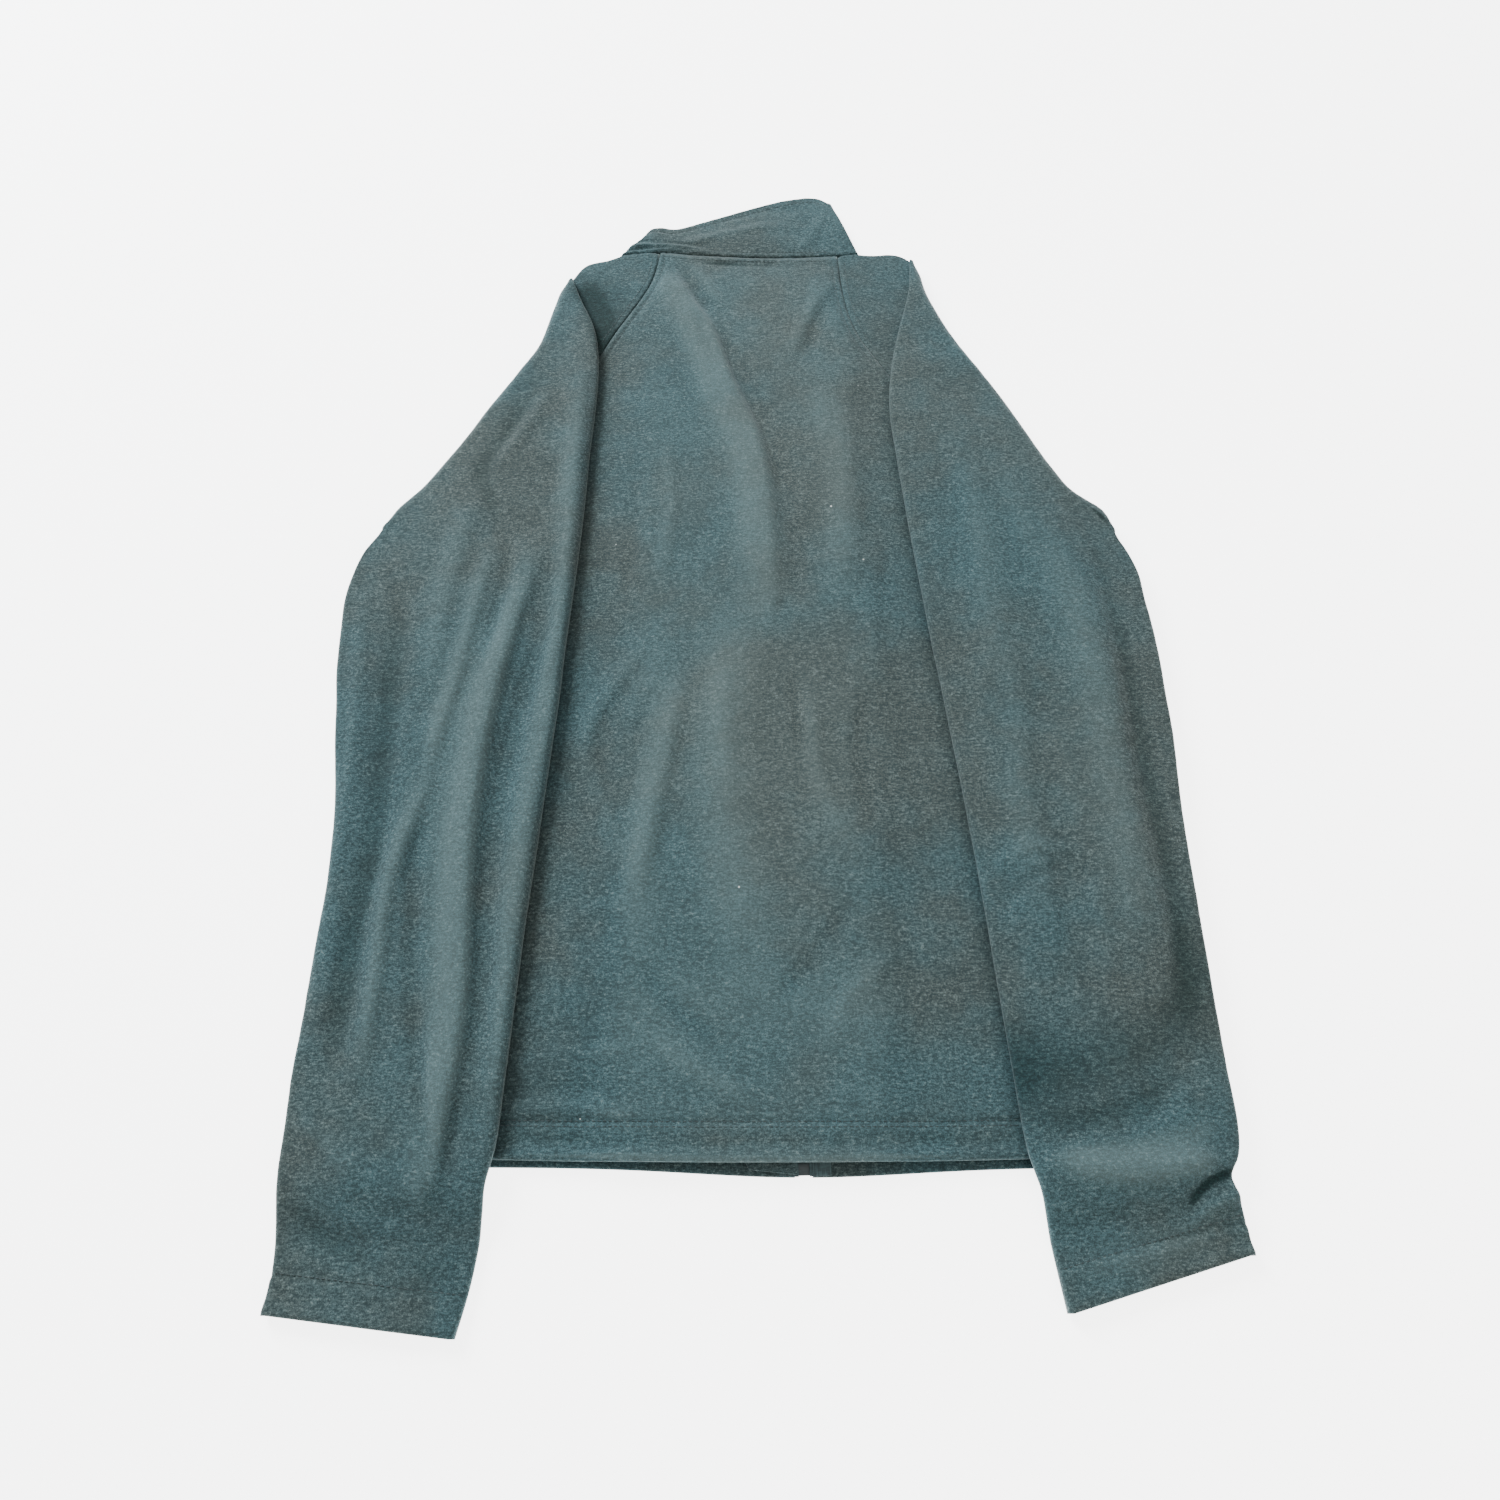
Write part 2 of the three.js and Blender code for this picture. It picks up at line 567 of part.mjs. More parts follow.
// The points of a ring round one folded edge of the tube
function edgeTurn(from, to, direction, reach, column, place) {
  return evenShares(END_STEPS).slice(1, -1).map((share) => {
    const bulge = Math.abs(reach) * Math.sin(Math.PI * share);
    const p = from.clone().lerp(to, share).addScaledVector(direction, bulge);
    return place(p, reach * Math.cos(Math.PI * share), column);
  });
}

function sleeveFold(half) {
  const samples = curveSamples(half.fold, ACROSS);
  const normals = planNormals(samples).map((n) => n.multiplyScalar(outwards(half)));
  return { samples, normals };
}

function capEdges(half) {
  const back = raglanSeam(half, 'backRaglan', true);
  const front = raglanSeam(half, 'frontRaglan', true);
  back[0].y -= SEAM_GAP / 2;
  front[0].y -= SEAM_GAP / 2;
  const neck = new THREE.Vector3(half.neck.x, half.neck.y - SEAM_GAP / 2, 0);
  return { back: [neck.clone(), ...back], front: [neck.clone(), ...front] };
}

// Directions in which the two folded edges of a sleeve stand out, at its seam, fold and run
function edgeDirections(half, fold) {
  const turn = outwards(half);
  const last = fold.samples.length - 1;
  const atFold = {
    inner: fold.samples[0].clone().sub(fold.samples[1]).setLength(FOLD_CORNER),
    outer: fold.samples[last].clone().sub(fold.samples[last - 1]).normalize(),
  };
  const atSeam = {
    inner: new THREE.Vector3(turn, 0, 0),
    outer: new THREE.Vector3(UNDERARM_EDGE.x * turn, UNDERARM_EDGE.y, 0),
  };
  const atRun = { inner: new THREE.Vector3(-turn, 0, 0), outer: new THREE.Vector3(turn, 0, 0) };
  return { atSeam, atFold, atRun };
}

// A direction between two, with a length between theirs
function blendDirections(a, b, share) {
  return a.clone().lerp(b, share).setLength(lerp(a.length(), b.length(), share));
}

function blendEnds(a, b, share) {
  return {
    inner: blendDirections(a.inner, b.inner, share),
    outer: blendDirections(a.outer, b.outer, share),
  };
}

// Flat cap, from the raglan seams to the fold: the back's wall is over the front's
function capRings(half, fold, ends, reach) {
  const cap = capEdges(half);
  const flat = (p, h) => new THREE.Vector3(p.x, p.y, TUBE_MIDDLE + h);
  return evenShares(CAP_STEPS).map((share) => {
    const bow = half.capBow * Math.sin(Math.PI * share * share);
    const across = (from, k) => {
      const p = from.clone().lerp(fold.samples[k], share);
      p.y += bow * (1 - ACROSS[k]) ** CAP_BOW_EASE;
      return p;
    };
    const near = cap.back.map(across);
    const far = cap.front.map(across);
    return tubeRing(near, far, blendEnds(ends.atSeam, ends.atFold, share), reach, flat);
  });
}

// Half turn round the fold
function foldRings(fold, ends, reach) {
  return evenShares(FOLD_STEPS).slice(1).map((share) => {
    const bend = (p, h, column) => {
      const radius = FOLD_RADIUS - h;
      const out = radius * Math.sin(Math.PI * share);
      const place = p.clone().addScaledVector(fold.normals[column], out);
      place.z = FOLD_AXIS_Z - radius * Math.cos(Math.PI * share);
      return place;
    };
    return tubeRing(fold.samples, fold.samples, ends.atFold, reach, bend);
  });
}

// Folded run, lying over the back and past the hem onto the surface
function runRings(half, fold, ends, reach) {
  const first = fold.samples[0];
  const last = fold.samples[fold.samples.length - 1];
  const bowed = fold.samples.map((p, k) => p.clone().sub(first.clone().lerp(last, ACROSS[k])));
  const cuff = half.sections.length - 1;
  const turn = outwards(half);
  return half.sections.map((row, s) => {
    const inner = new THREE.Vector3(row.innerX + turn * TUBE_OUTSIDE, row.innerY, 0);
    const outer = new THREE.Vector3(row.outerX - turn * TUBE_OUTSIDE, row.outerY, 0);
    const keep = Math.max(0, 1 - (s + 1) / RUN_EASE);
    const line = ACROSS.map((a, k) => inner.clone().lerp(outer, a).addScaledVector(bowed[k], keep));
    const fade = CUFF_FADE.share * smoothstep(s, cuff - CUFF_FADE.sections, cuff);
    const shown = smoothstep(s, 0, RUN_EASE) * (1 - fade);
    const lay = (p, h, column) => {
      const across = ACROSS[column];
      const dropped = DROP.height * smoothstep(DROP.start - p.y, 0, DROP.length);
      const upper = smoothstep(-h, -TUBE_INSIDE, TUBE_INSIDE);
      const crown = row.plump * 4 * across * (1 - across) * upper;
      const folds = shown * foldLift(half.folds, p.x, p.y) * lerp(LOWER_WALL_SHARE, 1, upper);
      const lift = crown + Math.max(folds, -DEEPEST_TROUGH * upper);
      return new THREE.Vector3(p.x, p.y, FOLD_AXIS_Z + FOLD_RADIUS - h - dropped + lift);
    };
    const edges = blendEnds(ends.atFold, ends.atRun, smoothstep(s, -1, RUN_EASE));
    return tubeRing(line, line, edges, reach, lay);
  });
}

function sleeveRings(half, reach) {
  const fold = sleeveFold(half);
  const ends = edgeDirections(half, fold);
  return [
    ...capRings(half, fold, ends, reach),
    ...foldRings(fold, ends, reach),
    ...runRings(half, fold, ends, reach),
  ];
}

// A place on the edge of one front's opening for the zip
function openingAt(half, y) {
  return new THREE.Vector3(zipX(y) + (outwards(half) * FRONT_OPENING) / 2, y, 0);
}

function collarFrontBase(half, share) {
  const seam = new THREE.Vector3(half.frontRaglan[0].x, half.frontRaglan[0].y, 0);
  const neck = new THREE.Vector3(half.neck.x, half.neck.y, 0);
  const beyond = (share - COLLAR_SEAM_SHARE) / (1 - COLLAR_SEAM_SHARE);
  const p = share < COLLAR_SEAM_SHARE
    ? openingAt(half, FRONT_NECK_Y).lerp(seam, share / COLLAR_SEAM_SHARE)
    : seam.lerp(neck, beyond);
  p.y += SEAM_GAP;
  return p;
}

function collarFrontTop(half, share) {
  const end = planCurve(COLLAR_TOP).getPointAt(half.name === 'right' ? 1 : 0);
  const open = openingAt(half, COLLAR_FRONT_TOP_Y);
  return new THREE.Vector3(lerp(open.x, end.x, share), lerp(open.y, end.y, share * share), 0);
}

// One half of the collar's front, from the zip round the folded edge at the side of the neck
function collarFrontColumns(half, reach) {
  const flat = [...COLLAR_FRONT_SHARES, 1].map((share) => ({
    base: collarFrontBase(half, share), top: collarFrontTop(half, share), h: -reach,
  }));
  const turned = evenShares(END_STEPS).slice(1, -1).map((share) => {
    const out = new THREE.Vector3(outwards(half) * reach * Math.sin(Math.PI * share), 0, 0);
    const base = collarFrontBase(half, 1).add(out);
    return { base, top: collarFrontTop(half, 1).add(out), h: -reach * Math.cos(Math.PI * share) };
  });
  return [...flat, ...turned];
}

// Columns of the collar: a strip from the zip round the back of the neck to the zip again
function collarColumns(reach) {
  const neckRow = backGrid(reach).pop();
  const places = [LEFT.neck, ...neckRow, RIGHT.neck];
  const topCurve = planCurve(COLLAR_TOP);
  const width = RIGHT.neck.x - LEFT.neck.x;
  const back = places.map((p) => ({
    base: new THREE.Vector3(p.x, p.y + SEAM_GAP, 0),
    top: topCurve.getPointAt((p.x - LEFT.neck.x) / width),
    h: reach,
  }));
  return [...collarFrontColumns(LEFT, reach), ...back, ...collarFrontColumns(RIGHT, reach).reverse()];
}

function collarGrid(reach) {
  const columns = collarColumns(reach);
  return evenShares(COLLAR_ROWS).map((share) => columns.map(({ base, top, h }) => {
    const p = base.clone().lerp(top, share);
    p.z = TUBE_MIDDLE + h + (h > 0 ? COLLAR_BOW * Math.sin(Math.PI * share) : 0);
    return p;
  }));
}

function namedMesh(name, geometry, material) {
  const mesh = new THREE.Mesh(geometry, material.clone());
  mesh.name = name;
  return mesh;
}

// A flat plate with its outline in X and Y, from bottom to top
function plate(outline, bottom, top, holes = []) {
  const shape = new THREE.Shape(outline);
  shape.holes.push(...holes);
  const options = { depth: top - bottom, bevelEnabled: false, curveSegments: HOLE_STEPS };
  return new THREE.ExtrudeGeometry(shape, options).translate(0, 0, bottom);
}

function rectangle(x0, y0, x1, y1) {
  const corners = [[x0, y0], [x1, y0], [x1, y1], [x0, y1]];
  return corners.map(([x, y]) => new THREE.Vector2(x, y));
}

// A quarter circle of an outline round a corner's centre, counterclockwise from an angle
function quarter(x, y, radius, from) {
  return evenShares(CORNER_STEPS).map((share) => {
    const angle = from + (Math.PI / 2) * share;
    return new THREE.Vector2(x + radius * Math.cos(angle), y + radius * Math.sin(angle));
  });
}

function roundedOutline(x0, y0, x1, y1, radius) {
  return [
    ...quarter(x1 - radius, y0 + radius, radius, -Math.PI / 2),
    ...quarter(x1 - radius, y1 - radius, radius, 0),
    ...quarter(x0 + radius, y1 - radius, radius, Math.PI / 2),
    ...quarter(x0 + radius, y0 + radius, radius, Math.PI),
  ];
}

function zipTape(side) {
  const x0 = side * TAPE.inner;
  const x1 = side * (TAPE.inner + TAPE.width);
  const bottom = CLOTH + SEAM_GAP;
  const outline = rectangle(Math.min(x0, x1), 0, Math.max(x0, x1), TAPE.length);
  return plate(outline, bottom, bottom + TAPE.thickness);
}

function zipChain() {
  const end = SLIDER.at - SEAM_GAP;
  return plate(rectangle(-CHAIN.width / 2, CHAIN.start, CHAIN.width / 2, end), CHAIN.bottom, CHAIN.top);
}

function zipSlider() {
  const side = SLIDER.width / 2;
  const outline = roundedOutline(-side, SLIDER.at, side, SLIDER.at + SLIDER.length, SLIDER.corner);
  return plate(outline, SLIDER.bottom, SLIDER.top);
}

function zipPull() {
  const top = SLIDER.at - SEAM_GAP;
  const outline = roundedOutline(-PULL.width / 2, top - PULL.length, PULL.width / 2, top, PULL.corner);
  const hole = new THREE.Path().absarc(0, top - PULL.length + PULL.width / 2, PULL.hole, 0, Math.PI * 2);
  return plate(outline, 0, PULL.thickness, [hole]);
}

function zipStop() {
  const side = STOP.width / 2;
  const outline = roundedOutline(-side, STOP.start, side, STOP.start + STOP.length, STOP.corner);
  return plate(outline, STOP.bottom, STOP.top);
}

// Wind guard behind the zip: a strip whose end is rounded where it shows at the hem
function zipGuard() {
  const left = -(GUARD.near + GUARD.width);
  const right = -GUARD.near;
  const outline = [
    ...rectangle(left, GUARD.start, right, GUARD.end).slice(1),
    ...quarter(left + GUARD.corner, GUARD.start + GUARD.corner, GUARD.corner, Math.PI),
  ];
  const bottom = CLOTH + 2 * SEAM_GAP + TAPE.thickness;
  return plate(outline, bottom, bottom + GUARD.thickness);
}

function sleeveWall(half) {
  return wallFromRings(sleeveRings(half, TUBE_OUTSIDE), sleeveRings(half, TUBE_INSIDE));
}

function zipGroup() {
  const group = new THREE.Group();
  group.position.set(ZIP_HEM.x, ZIP_HEM.y, 0);
  group.rotation.z = Math.atan2(ZIP_HEM.x - ZIP_NECK_X, FRONT_NECK_Y - ZIP_HEM.y);
  group.add(namedMesh('zip_tape_left', zipTape(-1), TAPE_CLOTH));
  group.add(namedMesh('zip_tape_right', zipTape(1), TAPE_CLOTH));
  group.add(namedMesh('zip_chain', zipChain(), ZIP_PLASTIC));
  group.add(namedMesh('zip_slider', zipSlider(), ZIP_METAL));
  group.add(namedMesh('zip_pull', zipPull(), ZIP_METAL));
  group.add(namedMesh('zip_stop', zipStop(), ZIP_PLASTIC));
  group.add(namedMesh('zip_guard', zipGuard(), FLEECE));
  return group;
}

const jacket = new THREE.Group();
jacket.position.set(-FOOTPRINT_MIDDLE.x, -FOOTPRINT_MIDDLE.y, 0);
jacket.add(namedMesh('back', wallFromGrids(backGrid(TUBE_OUTSIDE), backGrid(TUBE_INSIDE)), FLEECE));
for (const half of [LEFT, RIGHT]) {
  const front = wallFromGrids(frontGrid(half, TUBE_OUTSIDE), frontGrid(half, TUBE_INSIDE));
  jacket.add(namedMesh(`front_${half.name}`, front, FLEECE));
  jacket.add(namedMesh(`sleeve_${half.name}`, sleeveWall(half), FLEECE));
}
jacket.add(namedMesh('collar', wallFromGrids(collarGrid(TUBE_OUTSIDE), collarGrid(TUBE_INSIDE)), FLEECE));
jacket.add(zipGroup());

export default jacket;
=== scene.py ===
# Looks of a fleece jacket that lies face down with both sleeves folded over its back.
# Layout millimetres are used until a mesh is made: X to the right across the back,
# Y from the hem to the collar, Z up. The row frame is the layout moved by LAYOUT_SHIFT.

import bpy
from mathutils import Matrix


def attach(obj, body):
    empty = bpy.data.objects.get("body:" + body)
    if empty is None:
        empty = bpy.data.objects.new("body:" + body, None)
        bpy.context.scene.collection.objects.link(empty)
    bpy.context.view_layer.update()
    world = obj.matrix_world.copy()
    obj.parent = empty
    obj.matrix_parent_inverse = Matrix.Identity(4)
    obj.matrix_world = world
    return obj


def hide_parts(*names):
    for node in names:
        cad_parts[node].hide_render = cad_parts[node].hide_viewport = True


bl_info = {
    "name": "Fleece Jacket Laid Flat",
    "version": (1, 0, 0),
    "blender": (4, 5, 0),
    "location": "3D View > Sidebar > Jacket",
    "description": "Builds the cloth, sewing and zip of a fleece jacket laid flat",
    "category": "Add Mesh",
}

import math
from functools import partial

import bpy
import numpy as np
from mathutils import Matrix, Vector
from mathutils.bvhtree import BVHTree

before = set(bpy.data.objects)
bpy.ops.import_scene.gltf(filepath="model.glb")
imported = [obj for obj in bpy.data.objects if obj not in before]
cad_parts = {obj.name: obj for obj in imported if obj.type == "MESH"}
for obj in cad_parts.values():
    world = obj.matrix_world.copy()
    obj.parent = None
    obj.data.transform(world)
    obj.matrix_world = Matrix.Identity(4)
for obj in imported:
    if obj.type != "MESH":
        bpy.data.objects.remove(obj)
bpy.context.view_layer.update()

MM = 0.001
LAYOUT_SHIFT = np.array([2.0, -338.0, 0.0])

# Driving dimensions, in millimetres, as in the part's source
CLOTH = 2.4
SEAM_GAP = 0.3
LAYER_GAP = 1.2
HEM_DEPTH = 21.0
HEM_ROLL = 0.8
BACK_LENGTH = 697.0
FRONT_NECK_Y = 655.0
NECK_DIP = 4.0
COLLAR_HEIGHT = 66.0
FRONT_OPENING = 10.0
ZIP_HEM = (30.0, -9.0)
ZIP_NECK_X = 8.0

# Hems: the back's bows up towards its sides, the fronts' sags at the zip
BACK_HEM = {"middle": -2.2, "sides": 0.2, "half_width": 170.0}
FRONT_HEM = {"sides": -4.2, "sag": 5.3, "spread": 85.0}
HEM_EASE = 60.0

# Layers: two walls of cloth make a flat tube
TUBE_MIDDLE = CLOTH + LAYER_GAP / 2
TUBE_OUTSIDE = TUBE_MIDDLE
TUBE_INSIDE = LAYER_GAP / 2
BODY_TOP = 2 * TUBE_MIDDLE
FOLD_CLEARANCE = 0.8
FOLD_AXIS_Z = BODY_TOP + FOLD_CLEARANCE
FOLD_RADIUS = FOLD_CLEARANCE + TUBE_MIDDLE
RUN_EASE = 4.0
UNDERARM_EDGE = (0.45, -0.89)
CAP_BOW_EASE = 6
FOLD_CORNER = 0.5
FOLD_END = {"reach": 0.07, "least": 0.45, "pinch": 0.4, "ease": 9, "slump": 3.0}
COLLAR_SEAM_SHARE = 0.6
COLLAR_BOW = 1.4
DROP = {"start": -11.0, "length": 34.0, "height": BODY_TOP + 2 * FOLD_CLEARANCE}
UNDERARM_Y = 425.0

# Fineness of the meshes, in millimetres or steps
ROW_STEP = 3.4
HEM_ROW_STEP = 1.5
RUN_STEP = 2.9
ACROSS_STEPS = 58
END_STEPS = 9
CAP_STEPS = 16
FOLD_STEPS = 12
BACK_COLUMNS = 168
FRONT_COLUMNS = 44
SEAM_STEPS = 84
EDGE_COLUMNS = 6
EDGE_STEP = 1.0
CURVE_STEPS = 10
ROUNDED_ROWS = (0.05, 0.3, 0.8, 1.5, 2.4)

# How far across a sleeve each point of its coarse section lies in the part's source
ACROSS = (0, 0.05, 0.12, 0.2, 0.31, 0.44, 0.58, 0.73, 0.88, 1)

RIGHT = {
    "name": "right",
    "outwards": 1,
    "neck": (86, 697),
    "cap_bow": 5,
    "back_raglan": [
        (71, 695), (73, 663), (77, 634), (84, 609), (94, 590), (106, 568), (140, 521),
        (185, 473), (224, 443), (251, 430),
    ],
    "front_raglan": [(66, 672), (74, 636), (95, 588), (138, 526), (185, 474), (224, 443), (251, 430)],
    "side": [(246, 431), (248, 416), (253, 398), (258, 355), (257, 250), (257, 120), (260, 0)],
    "fold": [
        (129, 688), (132, 656), (142, 624), (157, 590), (178, 550), (197, 510), (214, 473),
        (226, 453), (239, 441), (248, 433), (255, 420),
    ],
    # inner x, inner y, outer x, outer y, plumpness
    "sections": [
        (123, 651, 260, 412, 0.2), (114, 608, 265, 399, 0.5), (107, 570, 269, 382, 0.9),
        (104, 530, 270, 362, 1.3), (107, 484, 272, 340, 1.6), (111, 435, 273, 315, 1.8),
        (116, 386, 273, 288, 1.8), (121, 334, 273, 256, 1.8), (127, 284, 271, 220, 1.8),
        (132, 236, 270, 186, 1.8), (137, 188, 270, 151, 1.8), (141, 142, 270, 116, 1.8),
        (145, 92, 270, 80, 1.8), (149, 44, 270, 48, 1.7), (152, 8, 271, 20, 1.6),
        (155, -6, 269, 3, 1.4), (158, -16, 263, -9, 1.6), (160, -28, 265, -18, 1.4),
        (163, -50, 268, -32, 0.9), (167, -77, 271, -49, 0.4),
    ],
}

LEFT = {
    "name": "left",
    "outwards": -1,
    "neck": (-103, 696),
    "cap_bow": 8,
    "back_raglan": [
        (-73, 699), (-76, 678), (-80, 662), (-86, 648), (-93, 634), (-103, 615), (-114, 592),
        (-130, 558), (-152, 518), (-190, 468), (-226, 439), (-254, 427),
    ],
    "front_raglan": [
        (-60, 668), (-72, 630), (-98, 580), (-142, 518), (-190, 467), (-226, 439), (-254, 427),
    ],
    "side": [(-248, 429), (-250, 415), (-254, 398), (-257, 355), (-253, 250), (-250, 120), (-252, 0)],
    "fold": [
        (-142, 667), (-148, 632), (-157, 592), (-170, 566), (-190, 529), (-209, 492), (-230, 456),
        (-245, 437), (-257, 422),
    ],
    "sections": [
        (-130, 640, -264, 413, 0.2), (-119, 608, -270, 401, 0.5), (-115, 575, -274, 384, 0.9),
        (-115, 535, -277, 362, 1.3), (-117, 488, -276, 336, 1.6), (-118, 436, -274, 306, 1.8),
        (-120, 384, -270, 277, 1.8), (-123, 330, -266, 246, 1.8), (-125, 280, -261, 213, 1.8),
        (-128, 232, -258, 182, 1.8), (-131, 182, -257, 148, 1.8), (-134, 135, -258, 114, 1.8),
        (-136, 88, -258, 80, 1.8), (-138, 44, -259, 48, 1.7), (-140, 8, -258, 18, 1.6),
        (-144, -12, -258, -3, 1.4), (-145, -28, -257, -20, 1.2), (-146, -46, -256, -38, 1.0),
        (-149, -67, -255, -58, 0.8), (-154, -89, -257, -78, 0.4),
    ],
}

COLLAR_TOP = [
    (-84, 718), (-82, 725), (-74, 728), (-62, 726), (-39, 734), (-4, 748), (32, 760), (55, 762),
    (65, 756),
]
COLLAR_FRONT_TOP_Y = FRONT_NECK_Y + COLLAR_HEIGHT

# The back is full between the sleeves, and low beside them, under them and at its seams
BACK_FULLNESS = {
    "height": 2.6, "least": 1.3, "lowest": -0.6, "inside": 68.0, "outside": 100.0, "top": 690.0,
    "fade": 34.0, "under_sleeve": 1.1, "beside_sleeve": 14.0, "beside": 16.0, "seam_fade": 12.0,
}

# Sewn lines: depth and half width of the seam's groove, of the turned cloth and of the stitched line
TURNED_AT = 2.4
STITCHED_AT = 5.0
SEAMS = {
    "back": ((0.45, 1.1), (0.35, 1.6), (0.4, 0.9)),
    "neck": ((0.6, 1.1), (0.4, 1.6), (0.4, 0.9)),
    "cap": ((0.45, 1.1), (0.35, 1.6), (0.3, 0.9)),
    "collar": ((0.8, 1.3), (0.5, 1.4), (0.45, 1.0)),
}

# Turned hems and cuffs: place, depth and half width of the roll, the hollow and the stitched line
HEM_SHAPE = {
    "roll": (3.6, -0.9, 2.4), "hollow": (10.5, 0.4, 4.0), "stitched": (HEM_DEPTH, 0.7, 1.2),
    "step": (HEM_DEPTH - 3, HEM_DEPTH - 1), "first_row": 3.6, "last_row": HEM_DEPTH + 9,
}
# Painted shade along the back hem's stitched line and in its hollow: place, depth and half width
HEM_PAINTED_SHADE = ((HEM_DEPTH, 1.0, 1.3), (12, 0.5, 4))
FRONT_HEM_LINE = (HEM_DEPTH, 0.4, 1.2)
ZIP_LINE = (6, 0.35, 1.0)
COLLAR_EDGE_LINE = (6, 0.5, 1.1)
# Painted shade along the cuff's stitched line: place, depth and half width
CUFF_PAINTED_SHADE = (HEM_DEPTH, 1.0, 1.3)

# How strongly folds show, and the painted light and shade that the relief gives the fleece: on the back, a
# sleeve's cap, its folded top and its hanging run
CREASE_PAINTED_SHADE = 0.5
SLEEVE_SHADE = {"depth": 1.5, "reach": 11}
CAP = {"crowding": 1.25, "creases": (-0.4, 1.0), "creases_from": 0.4, "pressed_from": 0.4, "tone": -0.4}
FOLD_PAINTED_LIGHT = 0.4
RUN = {
    "shown": (-0.6, 2.5), "calm": 0.55, "calm_reach": 40, "opened": (-1, 1.5), "hollows": 0.55,
    "deepest": -0.75, "lower": 0.3,
}
COLLAR_DEEPEST = -0.5
COLLAR_SEAM_PAINTED_SHADING = 1.3
COLLAR_ROWS_END = 0.96

# How a fold fades out at its two ends, by the share of its path
FOLD_FADE = {"in": (-0.15, 0.2), "out": (0.75, 1.1)}

# Waves all over the cloth: height, length in metres and seed; soft ones only rise above a level
SOFT_LEVEL = 1.5
SOFT_WAVES = ((1.0, 0.085, 5), (0.8, 0.034, 6))
FINE_WAVES = ((0.3, 0.013, 7), (0.18, 0.006, 8))
OFF_SURFACE = (0.001, 0.006)


def fold(height, left, right, *path):
    """A soft ridge, or a trough where height is under 0, with its half widths beside the path."""
    return {"height": height, "left": left, "right": right, "path": path}


# Paths run upwards, so that left and right are as seen
BACK_FOLDS = [
    fold(4.7, 34, 10, (16, 364), (13, 427), (9, 470), (1, 509), (-14, 548), (-29, 598), (-50, 645),
         (-78, 690)),
    fold(-2.8, 8, 13, (33, 372), (31, 425), (22, 480), (9, 524), (-8, 566), (-24, 610)),
    fold(2.0, 30, 34, (0, 110), (-14, 180), (-18, 270), (-6, 360)),
    fold(2.0, 22, 24, (64, 380), (68, 470), (50, 560)),
    fold(1.5, 24, 22, (-66, 120), (-72, 220), (-60, 330)),
]
BACK_CREASES = [
    fold(-2.0, 7, 9, (-34, 632), (-45, 655), (-56, 682)),
    fold(1.6, 8, 8, (-24, 640), (-36, 664), (-46, 686)),
    fold(2.4, 14, 8, (-82, 180), (-93, 214), (-105, 256), (-92, 293), (-74, 325)),
    fold(2.6, 14, 9, (-68, 160), (-61, 200), (-53, 249), (-45, 304)),
    fold(-1.4, 8, 9, (-78, 205), (-74, 250), (-66, 296)),
    fold(1.6, 14, 11, (-11, 222), (-16, 262), (-20, 306)),
    fold(1.8, 13, 8, (63, 184), (45, 228), (39, 300)),
    fold(-1.3, 8, 9, (35, 250), (28, 302)),
    fold(-1.5, 9, 12, (76, 196), (71, 244), (76, 290)),
    fold(1.4, 10, 8, (106, 188), (96, 228), (90, 264)),
    fold(-1.2, 9, 10, (42, 588), (55, 622), (69, 656)),
    fold(1.1, 10, 8, (32, 590), (44, 624), (58, 660)),
    fold(1.6, 6, 8, (-134, 26), (-98, 27), (-64, 23)),
    fold(-1.1, 6, 6, (-136, 38), (-100, 40), (-70, 37)),
    fold(1.2, 8, 8, (-134, 53), (-97, 55), (-74, 60)),
    fold(1.5, 10, 10, (0, 32), (-30, 47), (-58, 66)),
    fold(-1.0, 9, 9, (-20, 64), (-44, 82), (-64, 106)),
    fold(1.1, 11, 9, (44, 62), (62, 94), (92, 120)),
    fold(-1.0, 9, 9, (20, 92), (46, 122), (58, 148)),
    fold(1.1, 12, 9, (-118, 124), (-96, 142), (-72, 144)),
    fold(-1.1, 9, 9, (-88, 360), (-82, 420), (-86, 480)),
    fold(1.2, 10, 8, (-62, 380), (-56, 440), (-62, 500)),
    fold(1.2, 11, 9, (88, 300), (84, 360), (90, 420)),
    fold(-1.2, 8, 8, (-24, 574), (-34, 600), (-42, 628)),
    fold(-1.3, 4, 3, (-29, 685), (-4, 683.5), (22, 685)),
    fold(1.4, 3, 3, (-34, 690), (-4, 688.5), (26, 690)),
]
COLLAR_CREASES = [
    fold(1.3, 2.6, 2.6, (-98, 705), (-78, 706), (-58, 703.5), (-34, 700)),
    fold(-0.9, 2.2, 2.2, (-96, 709.5), (-78, 710), (-58, 707.5), (-34, 704)),
    fold(0.9, 8, 7, (-70, 700), (-40, 712), (-4, 722), (30, 730)),
    fold(-0.7, 6, 7, (-20, 738), (20, 746), (50, 748)),
    fold(0.8, 8, 8, (40, 700), (52, 720), (60, 744)),
    fold(-0.7, 5, 6, (-94, 697), (-84, 704), (-72, 712)),
]

